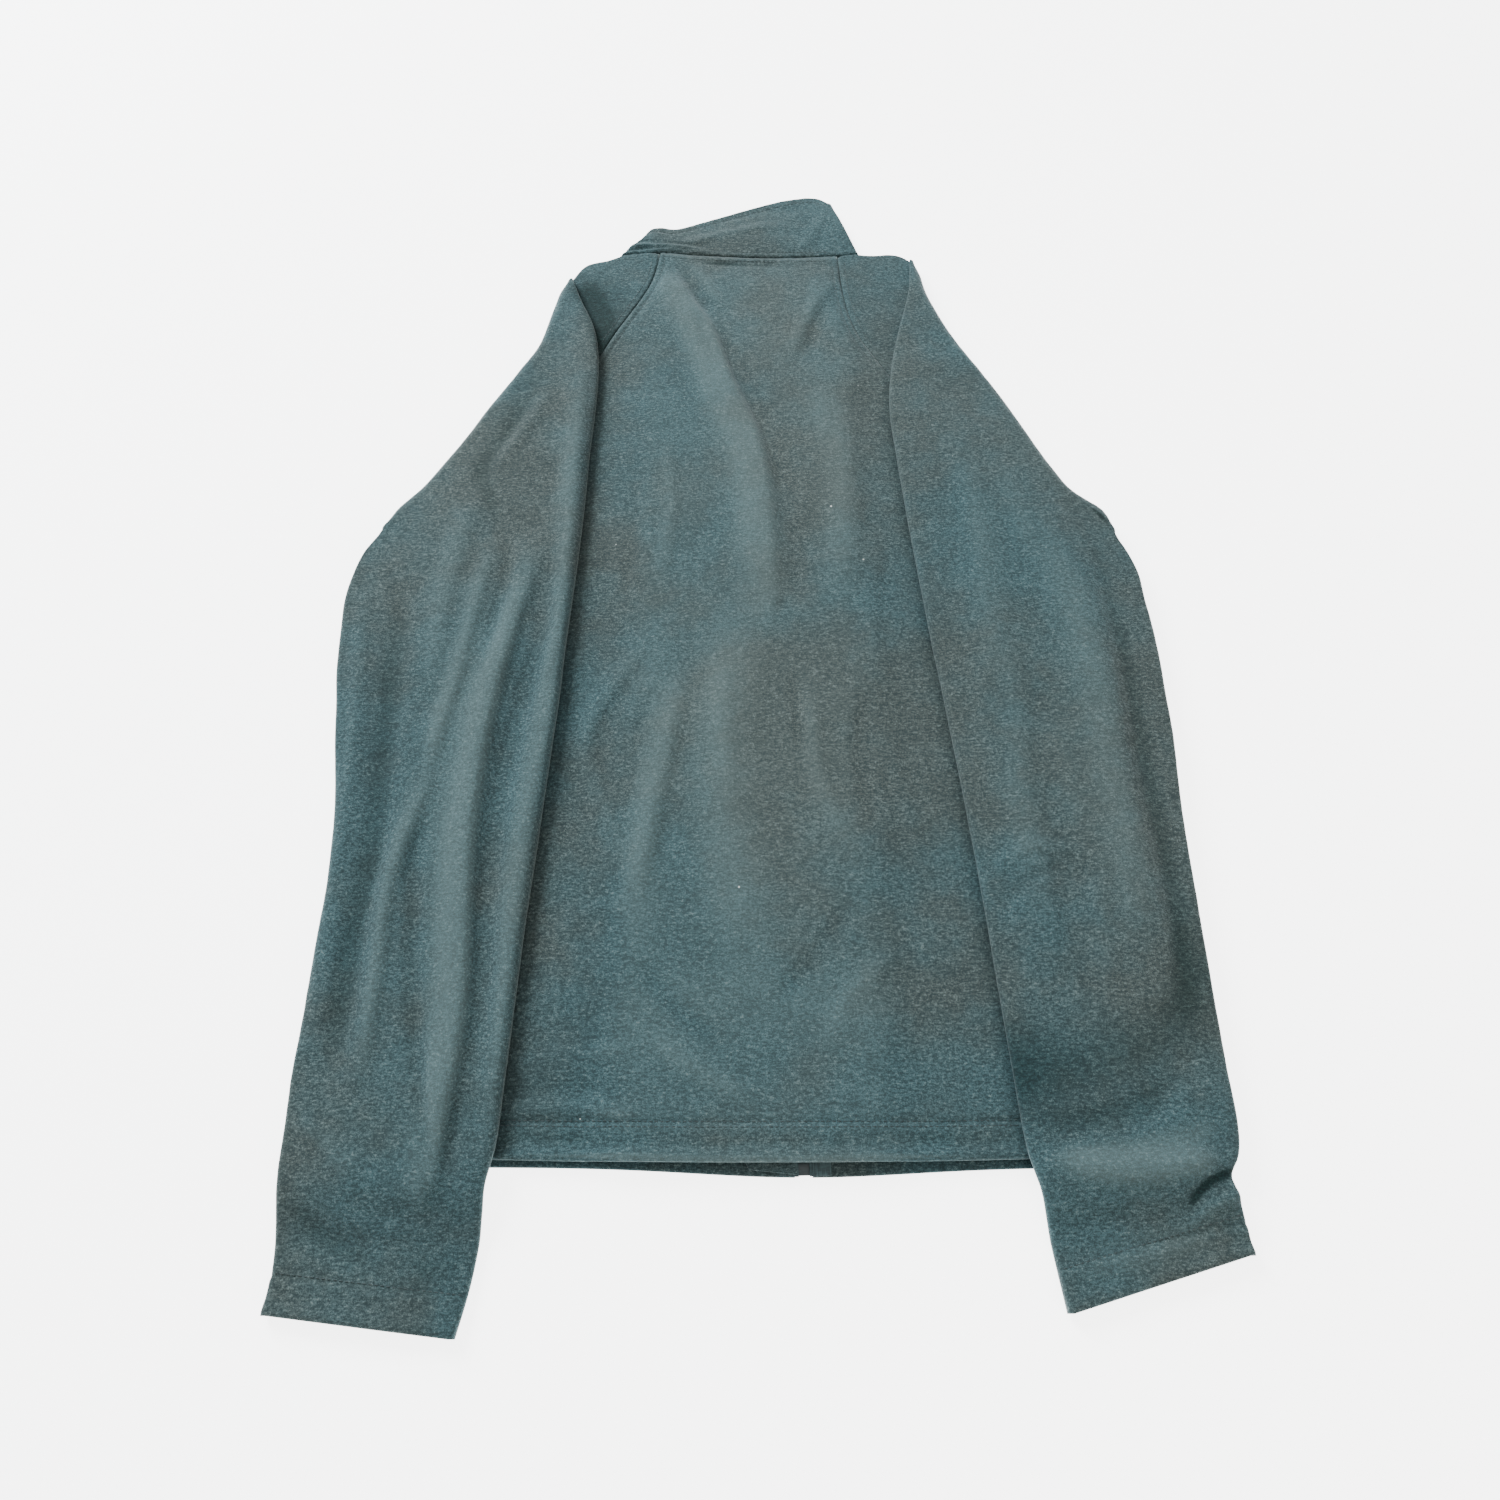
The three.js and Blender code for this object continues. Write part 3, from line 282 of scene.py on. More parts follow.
LEFT["folds"] = [
    fold(4.6, 20, 11, (-145, 2), (-143, 58), (-141, 122), (-137, 199), (-132, 254), (-129, 313), (-127, 436),
         (-126, 520), (-126, 604)),
    fold(-3.2, 9, 12, (-153, 20), (-154, 100), (-159, 150), (-158, 199), (-155, 243), (-149, 281),
         (-141, 326), (-137, 376), (-133, 440)),
    fold(5.6, 24, 9, (-174, -14), (-170, 30), (-167, 80), (-171, 147), (-173, 200), (-169, 273), (-159, 340),
         (-147, 400)),
    fold(3.2, 15, 9, (-219, 46), (-218, 98), (-219, 147), (-213, 185), (-203, 228)),
]
LEFT["creases"] = [
    fold(-2.4, 8, 8, (-177, 2), (-184, 36), (-190, 66), (-198, 110), (-203, 160), (-204, 196)),
    fold(2.6, 13, 8, (-201, 240), (-199, 262), (-193, 298), (-186, 354), (-180, 400)),
    fold(-2.2, 8, 10, (-178, 306), (-172, 345), (-167, 396), (-180, 432), (-198, 474)),
    fold(-2.4, 12, 16, (-234, 50), (-235, 90), (-233, 135), (-231, 186), (-234, 255), (-236, 314),
         (-238, 380)),
    fold(2.0, 10, 12, (-250, 60), (-250, 140), (-252, 220), (-258, 300), (-264, 360)),
    fold(2.0, 18, 14, (-208, 296), (-209, 352), (-203, 404), (-196, 440)),
    fold(-1.7, 12, 14, (-196, 462), (-182, 500), (-164, 539)),
    fold(1.5, 12, 11, (-184, 474), (-166, 509), (-150, 552)),
    fold(2.0, 10, 8, (-215, -8), (-232, 8), (-251, 22)),
    fold(-1.9, 9, 9, (-204, -54), (-232, -38), (-248, -25)),
    fold(1.3, 8, 8, (-168, -38), (-200, -36), (-226, -26)),
    fold(-1.5, 8, 9, (-147, -52), (-166, -59), (-178, -54)),
    fold(-1.2, 6, 7, (-160, -20), (-164, 8), (-163, 34)),
    fold(-1.0, 6, 6, (-238, 120), (-230, 150), (-226, 190)),
]

RIGHT["folds"] = [
    fold(2.6, 22, 26, (176, 120), (168, 200), (166, 260), (158, 400), (150, 520)),
    fold(3.4, 40, 24, (236, 96), (237, 140), (234, 180), (231, 230), (230, 290), (223, 375), (207, 470)),
    fold(-1.6, 12, 14, (250, 80), (254, 120), (252, 180), (250, 240), (248, 320), (240, 396)),
    fold(5.0, 13, 13, (168, -4), (204, -6), (232, -4), (258, -1)),
]
RIGHT["creases"] = [
    fold(-2.6, 13, 14, (160, 14), (190, 18), (216, 24), (236, 36)),
    fold(-1.8, 10, 10, (170, -34), (204, -30), (234, -26), (254, -20)),
    fold(-6.5, 5, 4, (236, -24), (244, -16), (254, -11), (275, -6)),
    fold(2.8, 4, 6, (240, -30), (252, -23), (268, -18)),
    fold(1.6, 17, 15, (204, 184), (198, 240), (201, 272)),
    fold(-1.3, 12, 11, (160, 224), (163, 271), (162, 310)),
    fold(1.1, 7, 6, (146, 158), (162, 176), (186, 180), (226, 166)),
    fold(-1.0, 6, 7, (152, 144), (182, 166), (216, 154)),
    fold(-1.0, 10, 10, (196, 110), (188, 140), (190, 172)),
    fold(1.2, 10, 10, (210, 90), (208, 130), (212, 170)),
    fold(-3.0, 5, 6, (258, 420), (250, 434), (241, 446)),
    fold(1.8, 5, 5, (249, 421), (241, 433), (232, 445)),
    fold(-1.2, 9, 9, (171, 586), (157, 602), (143, 628)),
    fold(1.2, 10, 8, (158, 556), (146, 580), (132, 606)),
    fold(1.1, 13, 11, (194, 400), (186, 450), (174, 500)),
    fold(-1.0, 12, 12, (150, 380), (146, 440), (140, 500)),
    fold(1.3, 9, 8, (176, -58), (210, -52), (246, -40)),
]

# Painted light and shade: soft patches of the fleece made darker (under 0) or lighter, along a path like a
# fold's
BACK_PAINTED_LIGHT_AND_SHADE = [
    fold(-0.9, 26, 20, (-46, 540), (-62, 600), (-74, 650)),
    fold(-1.2, 16, 16, (-34, 630), (-58, 676)),
    fold(-0.9, 12, 22, (36, 380), (32, 440), (18, 500), (0, 560)),
    fold(-0.5, 40, 40, (90, 330), (84, 440), (70, 540)),
    fold(-1.4, 5, 5, (-134, 12), (0, 10), (146, 12)),
    fold(-3.6, 1.8, 1.8, (-40, 688), (-12, 686.5), (15, 688)),
    fold(5.0, 2.4, 2.2, (-136, 2.0), (0, -0.4), (150, 2.0)),
    fold(0.9, 34, 40, (-110, 70), (0, 90), (110, 70)),
]
LEFT["tones"] = [
    fold(-1.5, 24, 26, (-240, 40), (-240, 130), (-238, 260), (-246, 390)),
    fold(1.3, 22, 14, (-184, 50), (-186, 150), (-196, 230), (-182, 320), (-160, 380)),
    fold(-1.7, 34, 34, (-196, 420), (-176, 500), (-150, 580)),
    fold(-1.2, 30, 30, (-160, -66), (-205, -44), (-246, -30)),
    fold(-1.1, 10, 12, (-196, 60), (-200, 110), (-206, 160)),
    fold(-4.6, 20, 18, (-106, 580), (-120, 630), (-138, 664)),
    fold(-1.4, 26, 26, (-100, 620), (-112, 650), (-126, 676)),
]
RIGHT["tones"] = [
    fold(-3.2, 52, 46, (110, 42), (160, 46), (206, 52), (244, 84), (256, 150)),
    fold(-1.1, 70, 70, (200, 60), (196, 240), (184, 420)),
    fold(-6.5, 3, 3, (238, -24), (244, -17), (252, -11), (262, -8), (276, -3)),
    fold(-4.0, 3, 3.5, (252, 423), (243, 438), (233, 452)),
    fold(-1.7, 26, 18, (250, 120), (250, 220), (245, 320), (228, 420), (206, 480)),
    fold(3.0, 13, 11, (166, 2), (206, 3), (240, 10), (266, 20)),
    fold(2.0, 22, 22, (172, -56), (216, -46), (262, -32)),
    fold(-0.9, 40, 40, (150, 330), (140, 430), (134, 520)),
]

# Zip and guard, in millimetres along and across the zip line from its lower end
TAPE = {"inner": 3.0, "width": 12.0, "thickness": 0.6, "length": 728.0}
CHAIN = {
    "width": 5.4, "bottom": 1.3, "top": 3.3, "start": 12.0, "pitch": 1.7, "tooth": 0.72, "reach": 0.7,
    "cord": 1.8,
}
SLIDER = {"width": 8.0, "length": 10.0, "bottom": 0.2, "top": 2.4, "at": 700.0}
PULL = {"width": 5.0, "length": 22.0, "thickness": 1.0, "hole": 1.2}
STOP = {"width": 8.0, "length": 11.0, "bottom": 0.2, "top": 2.4, "start": 0.6}
GUARD = {"near": 4.0, "width": 30.0, "thickness": 1.2, "start": 1.0, "end": 655.0, "corner": 12.0}

# Camera, floor, lamps and world, in metres, degrees, millimetres of lens, and watts
CAMERA = {"place": (0.002, -0.4077, 0.677), "pitch": 64.5, "lens": 27.6, "sensor": 36.0}
FLOOR = {"size": 12, "z": -0.0006}
LAMPS = (
    ("window", (-1.8, 2.0, 1.6), 1.5, 230, (0.92, 0.97, 1.0)),
    ("ceiling", (0.1, 0.4, 2.2), 2.4, 18, (1.0, 1.0, 1.0)),
    ("room", (0.8, -1.4, 0.9), 1.2, 16, (1.0, 0.93, 0.84)),
)
WORLD = {"colour": (0.95, 0.98, 1.0, 1), "strength": 0.42}

# Sewing: the height in metres of the rays that find the cloth, the share of the thread that its
# middle stands above the cloth, and the least upward slope that a stitch lies on
SEWING = {"drop": 0.06, "lifted": 0.25, "least_slope": 0.5}

# Fleece: scales of its noises, the shares of the grain that tufts, clumps and knit rows have, and the tint
# that multiplies it as painted shade where the relief is low
FLEECE = {
    "cast": 5.0, "patches": 26.0, "tufts": 1500.0, "clumps": 620.0, "rows": (300.0, 820.0, 820.0),
    "crinkles": 150.0, "lint": 46.0, "lint_share": 0.70, "tuft_part": 0.4, "clump_part": 0.3,
    "row_part": 0.3, "worn_middle": (0.03, 0.05, 0), "worn_reach": (0.13, 0.26, 1), "worn": 0.55,
    "hollow": (0.20, 0.32, 0.31),
}


class JacketSizes(bpy.types.PropertyGroup):
    """Sizes of the cloth's finish and sewing."""

    ripple: bpy.props.FloatProperty(
        name="Cloth unevenness", description="Height of the small waves all over the cloth",
        default=0.00035, min=0, max=0.002, unit="LENGTH",
    )
    stitch_length: bpy.props.FloatProperty(
        name="Stitch length", description="Length of one stitch", default=0.0024, min=0.001, max=0.006,
        unit="LENGTH",
    )
    stitch_pitch: bpy.props.FloatProperty(
        name="Stitch pitch", description="Distance from stitch to stitch", default=0.0032, min=0.0015,
        max=0.008, unit="LENGTH",
    )
    thread: bpy.props.FloatProperty(
        name="Thread", description="Diameter of the sewing thread", default=0.0005, min=0.0002, max=0.002,
        unit="LENGTH",
    )
    topstitch: bpy.props.FloatProperty(
        name="Topstitch distance", description="Distance of the topstitching from its seam", default=0.005,
        min=0.001, max=0.02, unit="LENGTH",
    )
    pile: bpy.props.FloatProperty(
        name="Pile height", description="Height of the brushed pile in the material", default=0.0009, min=0,
        max=0.004, unit="LENGTH",
    )


class JacketColours(bpy.types.PropertyGroup):
    """Colours of the jacket and the stage."""

    # Teal and grey green are the fleece's own hues, mixed at random; ridges of the relief also lean to teal
    # as painted light
    teal: bpy.props.FloatVectorProperty(
        name="Teal", description="Fleece where the pile catches the light", subtype="COLOR", size=3,
        default=(0.043, 0.087, 0.097), min=0, max=1,
    )
    # Grey green also fills the worn middle of the back, and troughs of the relief lean to it as painted
    # shade
    olive: bpy.props.FloatVectorProperty(
        name="Grey green", description="Fleece where the pile is worn and flat", subtype="COLOR", size=3,
        default=(0.067, 0.082, 0.077), min=0, max=1,
    )
    shade: bpy.props.FloatVectorProperty(
        name="Deep green", description="Fleece between the tufts of its pile", subtype="COLOR", size=3,
        default=(0.014, 0.026, 0.028), min=0, max=1,
    )
    # The tips speckle the pile at random, and are also painted onto ridges of the relief as a highlight
    tips: bpy.props.FloatVectorProperty(
        name="Tips", description="Tips of the pile that catch the light", subtype="COLOR", size=3,
        default=(0.155, 0.205, 0.20), min=0, max=1,
    )
    lint: bpy.props.FloatVectorProperty(
        name="Lint", description="Specks of pale lint", subtype="COLOR", size=3,
        default=(0.62, 0.66, 0.64), min=0, max=1,
    )
    thread: bpy.props.FloatVectorProperty(
        name="Thread", description="Sewing thread", subtype="COLOR", size=3,
        default=(0.018, 0.030, 0.031), min=0, max=1,
    )
    tape: bpy.props.FloatVectorProperty(
        name="Zip tape", description="Woven tape of the zip", subtype="COLOR", size=3,
        default=(0.022, 0.040, 0.043), min=0, max=1,
    )
    coil: bpy.props.FloatVectorProperty(
        name="Zip coil", description="Moulded coil and stop", subtype="COLOR", size=3,
        default=(0.020, 0.032, 0.034), min=0, max=1,
    )
    metal: bpy.props.FloatVectorProperty(
        name="Slider", description="Lacquered slider and pull", subtype="COLOR", size=3,
        default=(0.10, 0.115, 0.12), min=0, max=1,
    )
    floor: bpy.props.FloatVectorProperty(
        name="Floor", description="Pale surface that the jacket lies on", subtype="COLOR", size=3,
        default=(0.93, 0.93, 0.93), min=0, max=1,
    )
    floor_glow: bpy.props.FloatProperty(
        name="Floor glow", description="Light that the lit surface itself gives off", default=4.5,
        min=0, max=10,
    )


# Curves and folds

def smoothstep(value, low, high):
    """0 up to low, 1 from high, and a smooth rise between."""
    t = np.clip((np.asarray(value, float) - low) / (high - low), 0, 1)
    return t * t * (3 - 2 * t)


def lerp(a, b, share):
    return a + (b - a) * share


def smooth_line(points, steps=CURVE_STEPS):
    """A dense line along the centripetal curve through plan points."""
    own = np.asarray(points, float)
    p = np.vstack([2 * own[0] - own[1], own, 2 * own[-1] - own[-2]])
    knots = np.concatenate([[0.0], np.cumsum(np.linalg.norm(np.diff(p, axis=0), axis=1) ** 0.5)])
    parts = []
    for k in range(1, len(own)):
        t0, t1, t2, t3 = knots[k - 1:k + 3]
        t = np.linspace(t1, t2, steps, endpoint=False)[:, None]
        a1 = lerp(p[k - 1], p[k], (t - t0) / (t1 - t0))
        a2 = lerp(p[k], p[k + 1], (t - t1) / (t2 - t1))
        a3 = lerp(p[k + 1], p[k + 2], (t - t2) / (t3 - t2))
        b1 = lerp(a1, a2, (t - t0) / (t2 - t0))
        b2 = lerp(a2, a3, (t - t1) / (t3 - t1))
        parts.append(lerp(b1, b2, (t - t1) / (t2 - t1)))
    return np.vstack([*parts, own[-1:]])


def line_lengths(line):
    """Distance along a line to each of its points."""
    steps = np.linalg.norm(np.diff(line, axis=0), axis=1)
    return np.concatenate([[0.0], np.cumsum(steps)])


def places_on(line, reached, at):
    """Places on a plan line, where its points have the numbers reached."""
    return np.stack([np.interp(at, reached, line[:, i]) for i in range(2)], 1)


def points_at(points, shares):
    """Places at shares of the length of a smooth curve through plan points."""
    line = smooth_line(points, 40)
    reached = line_lengths(line)
    return places_on(line, reached, np.asarray(shares, float) * reached[-1])


def rows_at(table, at):
    """Smoothly interpolated rows of a table at fractional row numbers."""
    t = np.asarray(table, float)
    slopes = np.gradient(t, axis=0)
    k = np.clip(np.floor(at).astype(int), 0, len(t) - 2)
    u = (at - k)[:, None]
    a, b, ma, mb = t[k], t[k + 1], slopes[k], slopes[k + 1]
    return ((2 * u ** 3 - 3 * u ** 2 + 1) * a + (u ** 3 - 2 * u ** 2 + u) * ma
            + (3 * u ** 2 - 2 * u ** 3) * b + (u ** 3 - u ** 2) * mb)


def line_normals(line):
    """Unit normals of a plan line, a quarter turn to the left of its direction."""
    run = np.gradient(line, axis=0)
    normals = np.stack([-run[:, 1], run[:, 0]], 1)
    return normals / np.linalg.norm(normals, axis=1, keepdims=True)


def nearest_on(line, x, y):
    """Distance to a line, the side that each place lies on, and the share of the line there."""
    best = np.full(x.shape, np.inf)
    side = np.zeros(x.shape)
    share = np.zeros(x.shape)
    last = len(line) - 1
    for k in range(last):
        ax, ay = line[k]
        dx, dy = line[k + 1] - line[k]
        t = np.clip(((x - ax) * dx + (y - ay) * dy) / (dx * dx + dy * dy), 0, 1)
        ex, ey = x - ax - t * dx, y - ay - t * dy
        distance = np.hypot(ex, ey)
        closer = distance < best
        best = np.where(closer, distance, best)
        side = np.where(closer, dx * ey - dy * ex, side)
        share = np.where(closer, (k + t) / last, share)
    return best, side, share


def fold_lift(folds, x, y):
    """Height of soft folds at plan places: rounded across, and fading out at both ends."""
    lift = np.zeros(x.shape)
    for row in folds:
        line = smooth_line(row["path"], 6)
        reach = max(row["left"], row["right"])
        low, high = line.min(0) - reach, line.max(0) + reach
        near = (x > low[0]) & (x < high[0]) & (y > low[1]) & (y < high[1])
        if not near.any():
            continue
        distance, side, share = nearest_on(line, x[near], y[near])
        width = lerp(row["right"], row["left"], smoothstep(side, -0.5, 0.5))
        across = np.cos(np.pi / 2 * np.minimum(distance / width, 1)) ** 2
        fade = smoothstep(share, *FOLD_FADE["in"]) * (1 - smoothstep(share, *FOLD_FADE["out"]))
        lift[near] += row["height"] * across * fade
    return lift


def groove(distance, depth, half_width):
    """A rounded groove along distance 0."""
    return -depth * np.exp(-((distance / half_width) ** 2))


def groove_at(distance, place, depth, half_width):
    return groove(distance - place, depth, half_width)


def sewn_seam(distance, seam):
    """Relief beside a seam: its groove, the turned cloth beside it, and the line of stitches."""
    own, turned, stitched = SEAMS[seam]
    turned_cloth = groove_at(distance, TURNED_AT, *turned)
    return groove(distance, *own) - turned_cloth + groove_at(distance, STITCHED_AT, *stitched)


def waves(places, wavelength, seed, count=14):
    """Even, smooth unevenness of about one unit, made of waves in seeded directions."""
    rng = np.random.default_rng(seed)
    total = np.zeros(len(places))
    for _ in range(count):
        direction = rng.normal(size=3)
        direction /= np.linalg.norm(direction)
        length = wavelength * rng.uniform(0.7, 1.5)
        total += np.sin(places @ direction * (2 * np.pi / length) + rng.uniform(0, 2 * np.pi))
    return total / math.sqrt(count)


def wave_sum(places, table, level=0.0):
    """A level with the waves of a table added in order."""
    for height, length, seed in table:
        level = level + height * waves(places, length, seed)
    return level


# Meshes

def quads_between(index):
    """Faces between neighbouring rows and columns of a grid of vertex numbers."""
    corners = (index[:-1, :-1], index[:-1, 1:], index[1:, 1:], index[1:, :-1])
    return np.stack([c.ravel() for c in corners], 1)


def rim_quads(loop, offset):
    """Faces that join a boundary loop of one surface to the same loop of the other."""
    ahead = loop[1:]
    here = loop[:-1]
    return np.stack([ahead, here, here + offset, ahead + offset], 1)


def grid_wall(over, under):
    """A wall between two grids of places, closed along its four sides."""
    rows, columns = over.shape[:2]
    index = np.arange(rows * columns).reshape(rows, columns)
    loop = np.concatenate([index[0, :-1], index[:-1, -1], index[-1, :0:-1], index[:0:-1, 0], index[0, :1]])
    top = quads_between(index)
    low = quads_between(index + index.size)[:, ::-1]
    places = np.vstack([over.reshape(-1, 3), under.reshape(-1, 3)])
    return places, np.vstack([top, low, rim_quads(loop, index.size)])


def ring_wall(outer, inner):
    """A tube's wall between outer and inner rings, closed by a rim at each end."""
    stations, count = outer.shape[:2]
    index = np.arange(stations * count).reshape(stations, count)
    closed = np.hstack([index, index[:, :1]])
    faces = [
        quads_between(closed),
        quads_between(closed + index.size)[:, ::-1],
        rim_quads(closed[0], index.size),
        rim_quads(closed[-1, ::-1], index.size),
    ]
    return np.vstack([outer.reshape(-1, 3), inner.reshape(-1, 3)]), np.vstack(faces)


def signed_volume(places, quads):
    """Above 0 if the faces look outwards."""
    a, b, c, d = (places[quads[:, i]] for i in range(4))
    first = np.einsum("ij,ij->i", a, np.cross(b, c))
    second = np.einsum("ij,ij->i", a, np.cross(c, d))
    return (first + second).sum()


def mesh_object(name, places, faces):
    """A smooth piece from places in the row frame."""
    mesh = bpy.data.meshes.new(name)
    mesh.from_pydata(places.tolist(), [], faces)
    mesh.shade_smooth()
    obj = bpy.data.objects.new(name, mesh)
    bpy.context.scene.collection.objects.link(obj)
    return obj


def cloth_object(name, surface, wall):
    """A cloth piece between the outside and the inside of a surface, and its outside places.

    The relief of the outside, with the painted light and shade added to it, is kept in an attribute that the
    fleece's colour reads: it paints shade into the low places and highlights onto the ridges.
    """
    over, relief = surface(TUBE_OUTSIDE)
    under, _ = surface(TUBE_INSIDE)
    places, quads = wall(over, under)
    if signed_volume(places, quads) < 0:
        quads = quads[:, ::-1]
    obj = mesh_object(name, (places + LAYOUT_SHIFT) * MM, quads.tolist())
    obj.data.validate()
    shade = np.concatenate([relief.ravel(), np.zeros(relief.size)])
    attribute = obj.data.attributes.new("relief", "FLOAT", "POINT")
    attribute.data.foreach_set("value", shade.astype(np.float32))
    return obj, over


def roughen(obj, height):
    """Lifts the cloth in soft waves that all layers share, and leaves what rests on the surface flat."""
    mesh = obj.data
    co = np.zeros(len(mesh.vertices) * 3)
    mesh.vertices.foreach_get("co", co)
    co = co.reshape(-1, 3)
    plan = co * (1, 1, 0)
    soft = wave_sum(plan, SOFT_WAVES, SOFT_LEVEL)
    fine = wave_sum(plan, FINE_WAVES)
    off_surface = smoothstep(co[:, 2], *OFF_SURFACE)
    co[:, 2] += height * off_surface * (np.maximum(soft, 0) + fine)
    mesh.vertices.foreach_set("co", co.ravel())
    mesh.update()


# The shape of the jacket, as in the part's source but finer

def zip_x(y):
    return lerp(ZIP_HEM[0], ZIP_NECK_X, (y - ZIP_HEM[1]) / (FRONT_NECK_Y - ZIP_HEM[1]))


def back_hem_y(x):
    return lerp(BACK_HEM["middle"], BACK_HEM["sides"], np.minimum((x / BACK_HEM["half_width"]) ** 2, 1))


def front_hem_y(x):
    return FRONT_HEM["sides"] - FRONT_HEM["sag"] * np.exp(-(((x - ZIP_HEM[0]) / FRONT_HEM["spread"]) ** 2))


def raglan_seam(half, key, towards_sleeve, shares):
    """Places along a raglan seam, half a gap to one side of its line."""
    line = points_at(half[key], shares)
    shift = (1 if towards_sleeve else -1) * half["outwards"] * SEAM_GAP / 2
    order = 1 if shares[-1] > shares[0] else -1
    return line + order * line_normals(line) * shift


def side_x(half, y):
    line = smooth_line(half["side"], 40)[::-1]
    return np.interp(y, line[:, 1], line[:, 0])


def hem_rows():
    """Heights of a panel's rows above its hem: close together at the hem, up to the underarm."""
    band = np.arange(HEM_SHAPE["first_row"], HEM_SHAPE["last_row"], HEM_ROW_STEP)
    upper = np.linspace(band[-1], UNDERARM_Y, int((UNDERARM_Y - band[-1]) / ROW_STEP))[1:]
    return np.concatenate([ROUNDED_ROWS, band, upper])


def edge_round(above, thickness):
    """How far a surface draws in at a turned hem, so that the edge is round."""
    radius = thickness / 2
    near = np.clip(radius - above, 0, radius)
    return radius - np.sqrt(np.maximum(radius ** 2 - near ** 2, 0))


def turned_edge(above):
    """Lift of a turned hem or cuff: its double cloth, the roll at its edge, and its stitched line."""
    band = 1 - smoothstep(above, *HEM_SHAPE["step"])
    roll = groove_at(above, *HEM_SHAPE["roll"]) + groove_at(above, *HEM_SHAPE["hollow"])
    return HEM_ROLL * band + roll + groove_at(above, *HEM_SHAPE["stitched"])


def inner_edge_x(half, y):
    """Where the inner edge of a folded sleeve lies at a height above the hem."""
    rows = np.asarray(half["sections"], float)[::-1]
    return np.interp(y, rows[:, 1], rows[:, 0])


def clear_of_sleeves(x, y):
    """Distance in from the nearer sleeve's inner edge, under 0 below the sleeve."""
    return np.minimum(x - inner_edge_x(LEFT, y), inner_edge_x(RIGHT, y) - x)


def from_raglans(x, y):
    """Distance from the nearer raglan seam of the back."""
    return np.minimum(*(nearest_on(smooth_line(half["back_raglan"], 4), x, y)[0] for half in (LEFT, RIGHT)))


def back_lift(x, y):
    """The back's lift off its flat place, kept low where a sleeve lies on it."""
    sideways = 1 - smoothstep(np.abs(x), BACK_FULLNESS["inside"], BACK_FULLNESS["outside"])
    upwards = 1 - smoothstep(y, BACK_FULLNESS["top"] - BACK_FULLNESS["fade"], BACK_FULLNESS["top"])
    creases = fold_lift(BACK_CREASES, x, y)
    full = BACK_FULLNESS["height"] + fold_lift(BACK_FOLDS, x, y) + creases
    lift = sideways * upwards * np.maximum(full, BACK_FULLNESS["least"])
    lift += (1 - sideways * upwards) * creases
    beside = smoothstep(clear_of_sleeves(x, y), 0, BACK_FULLNESS["beside"])
    room = BACK_FULLNESS["under_sleeve"] + BACK_FULLNESS["beside_sleeve"] * beside
    lift *= smoothstep(from_raglans(x, y), 0, BACK_FULLNESS["seam_fade"])
    return np.clip(np.minimum(lift, room), BACK_FULLNESS["lowest"], None)


def side_columns(curled, reach):
    """How far the side columns of a panel reach out, and how high, where they curl or meet a seam."""
    k = np.arange(EDGE_COLUMNS)
    angle = np.pi / 2 * (1 - k / EDGE_COLUMNS)
    angle[0] = math.acos(SEAM_GAP / 2 / reach)
    out = np.where(curled, reach * np.sin(angle), -k * EDGE_STEP)
    return out, np.where(curled, reach * np.cos(angle), reach)


def side_edge(half, key, heights, shares):
    """Plan places up a panel's side and then along its raglan seam."""
    side = np.stack([side_x(half, heights), heights], 1)
    return np.vstack([side, raglan_seam(half, key, False, shares)])


def back_plan(reach):
    """Plan places, heights and distances from the hem and neck of one surface of the back."""
    heights = hem_rows()
    shares = np.linspace(1, 0, SEAM_STEPS)
    left, right = (side_edge(half, "back_raglan", heights, shares) for half in (LEFT, RIGHT))
    curled = (np.arange(len(left)) < len(heights))[:, None]
    above = np.concatenate([heights, np.full(SEAM_STEPS, BACK_LENGTH)])[:, None]
    neck = np.concatenate([np.zeros(len(heights)), np.maximum(0, 1 - 4 * shares)])[:, None]
    out, up = side_columns(curled, reach)
    inset = np.where(curled, 0, EDGE_COLUMNS * EDGE_STEP)
    share = np.linspace(0, 1, BACK_COLUMNS + 1)
    x_left, x_right = left[:, :1], right[:, :1]
    middle_x = lerp(x_left + inset, x_right - inset, share)
    dip = -NECK_DIP * neck * (1 - (2 * share - 1) ** 2)
    middle_y = lerp(left[:, 1:], right[:, 1:], share) + dip
    x = np.hstack([x_left - out, middle_x, (x_right + out)[:, ::-1]])
    side_y = [np.repeat(edge[:, 1:], EDGE_COLUMNS, 1) for edge in (left, right)]
    y = np.hstack([side_y[0], middle_y, side_y[1]])
    h = np.hstack([up, np.full(middle_x.shape, reach), up[:, ::-1]])
    return x, y, h, np.broadcast_to(above, x.shape), curled


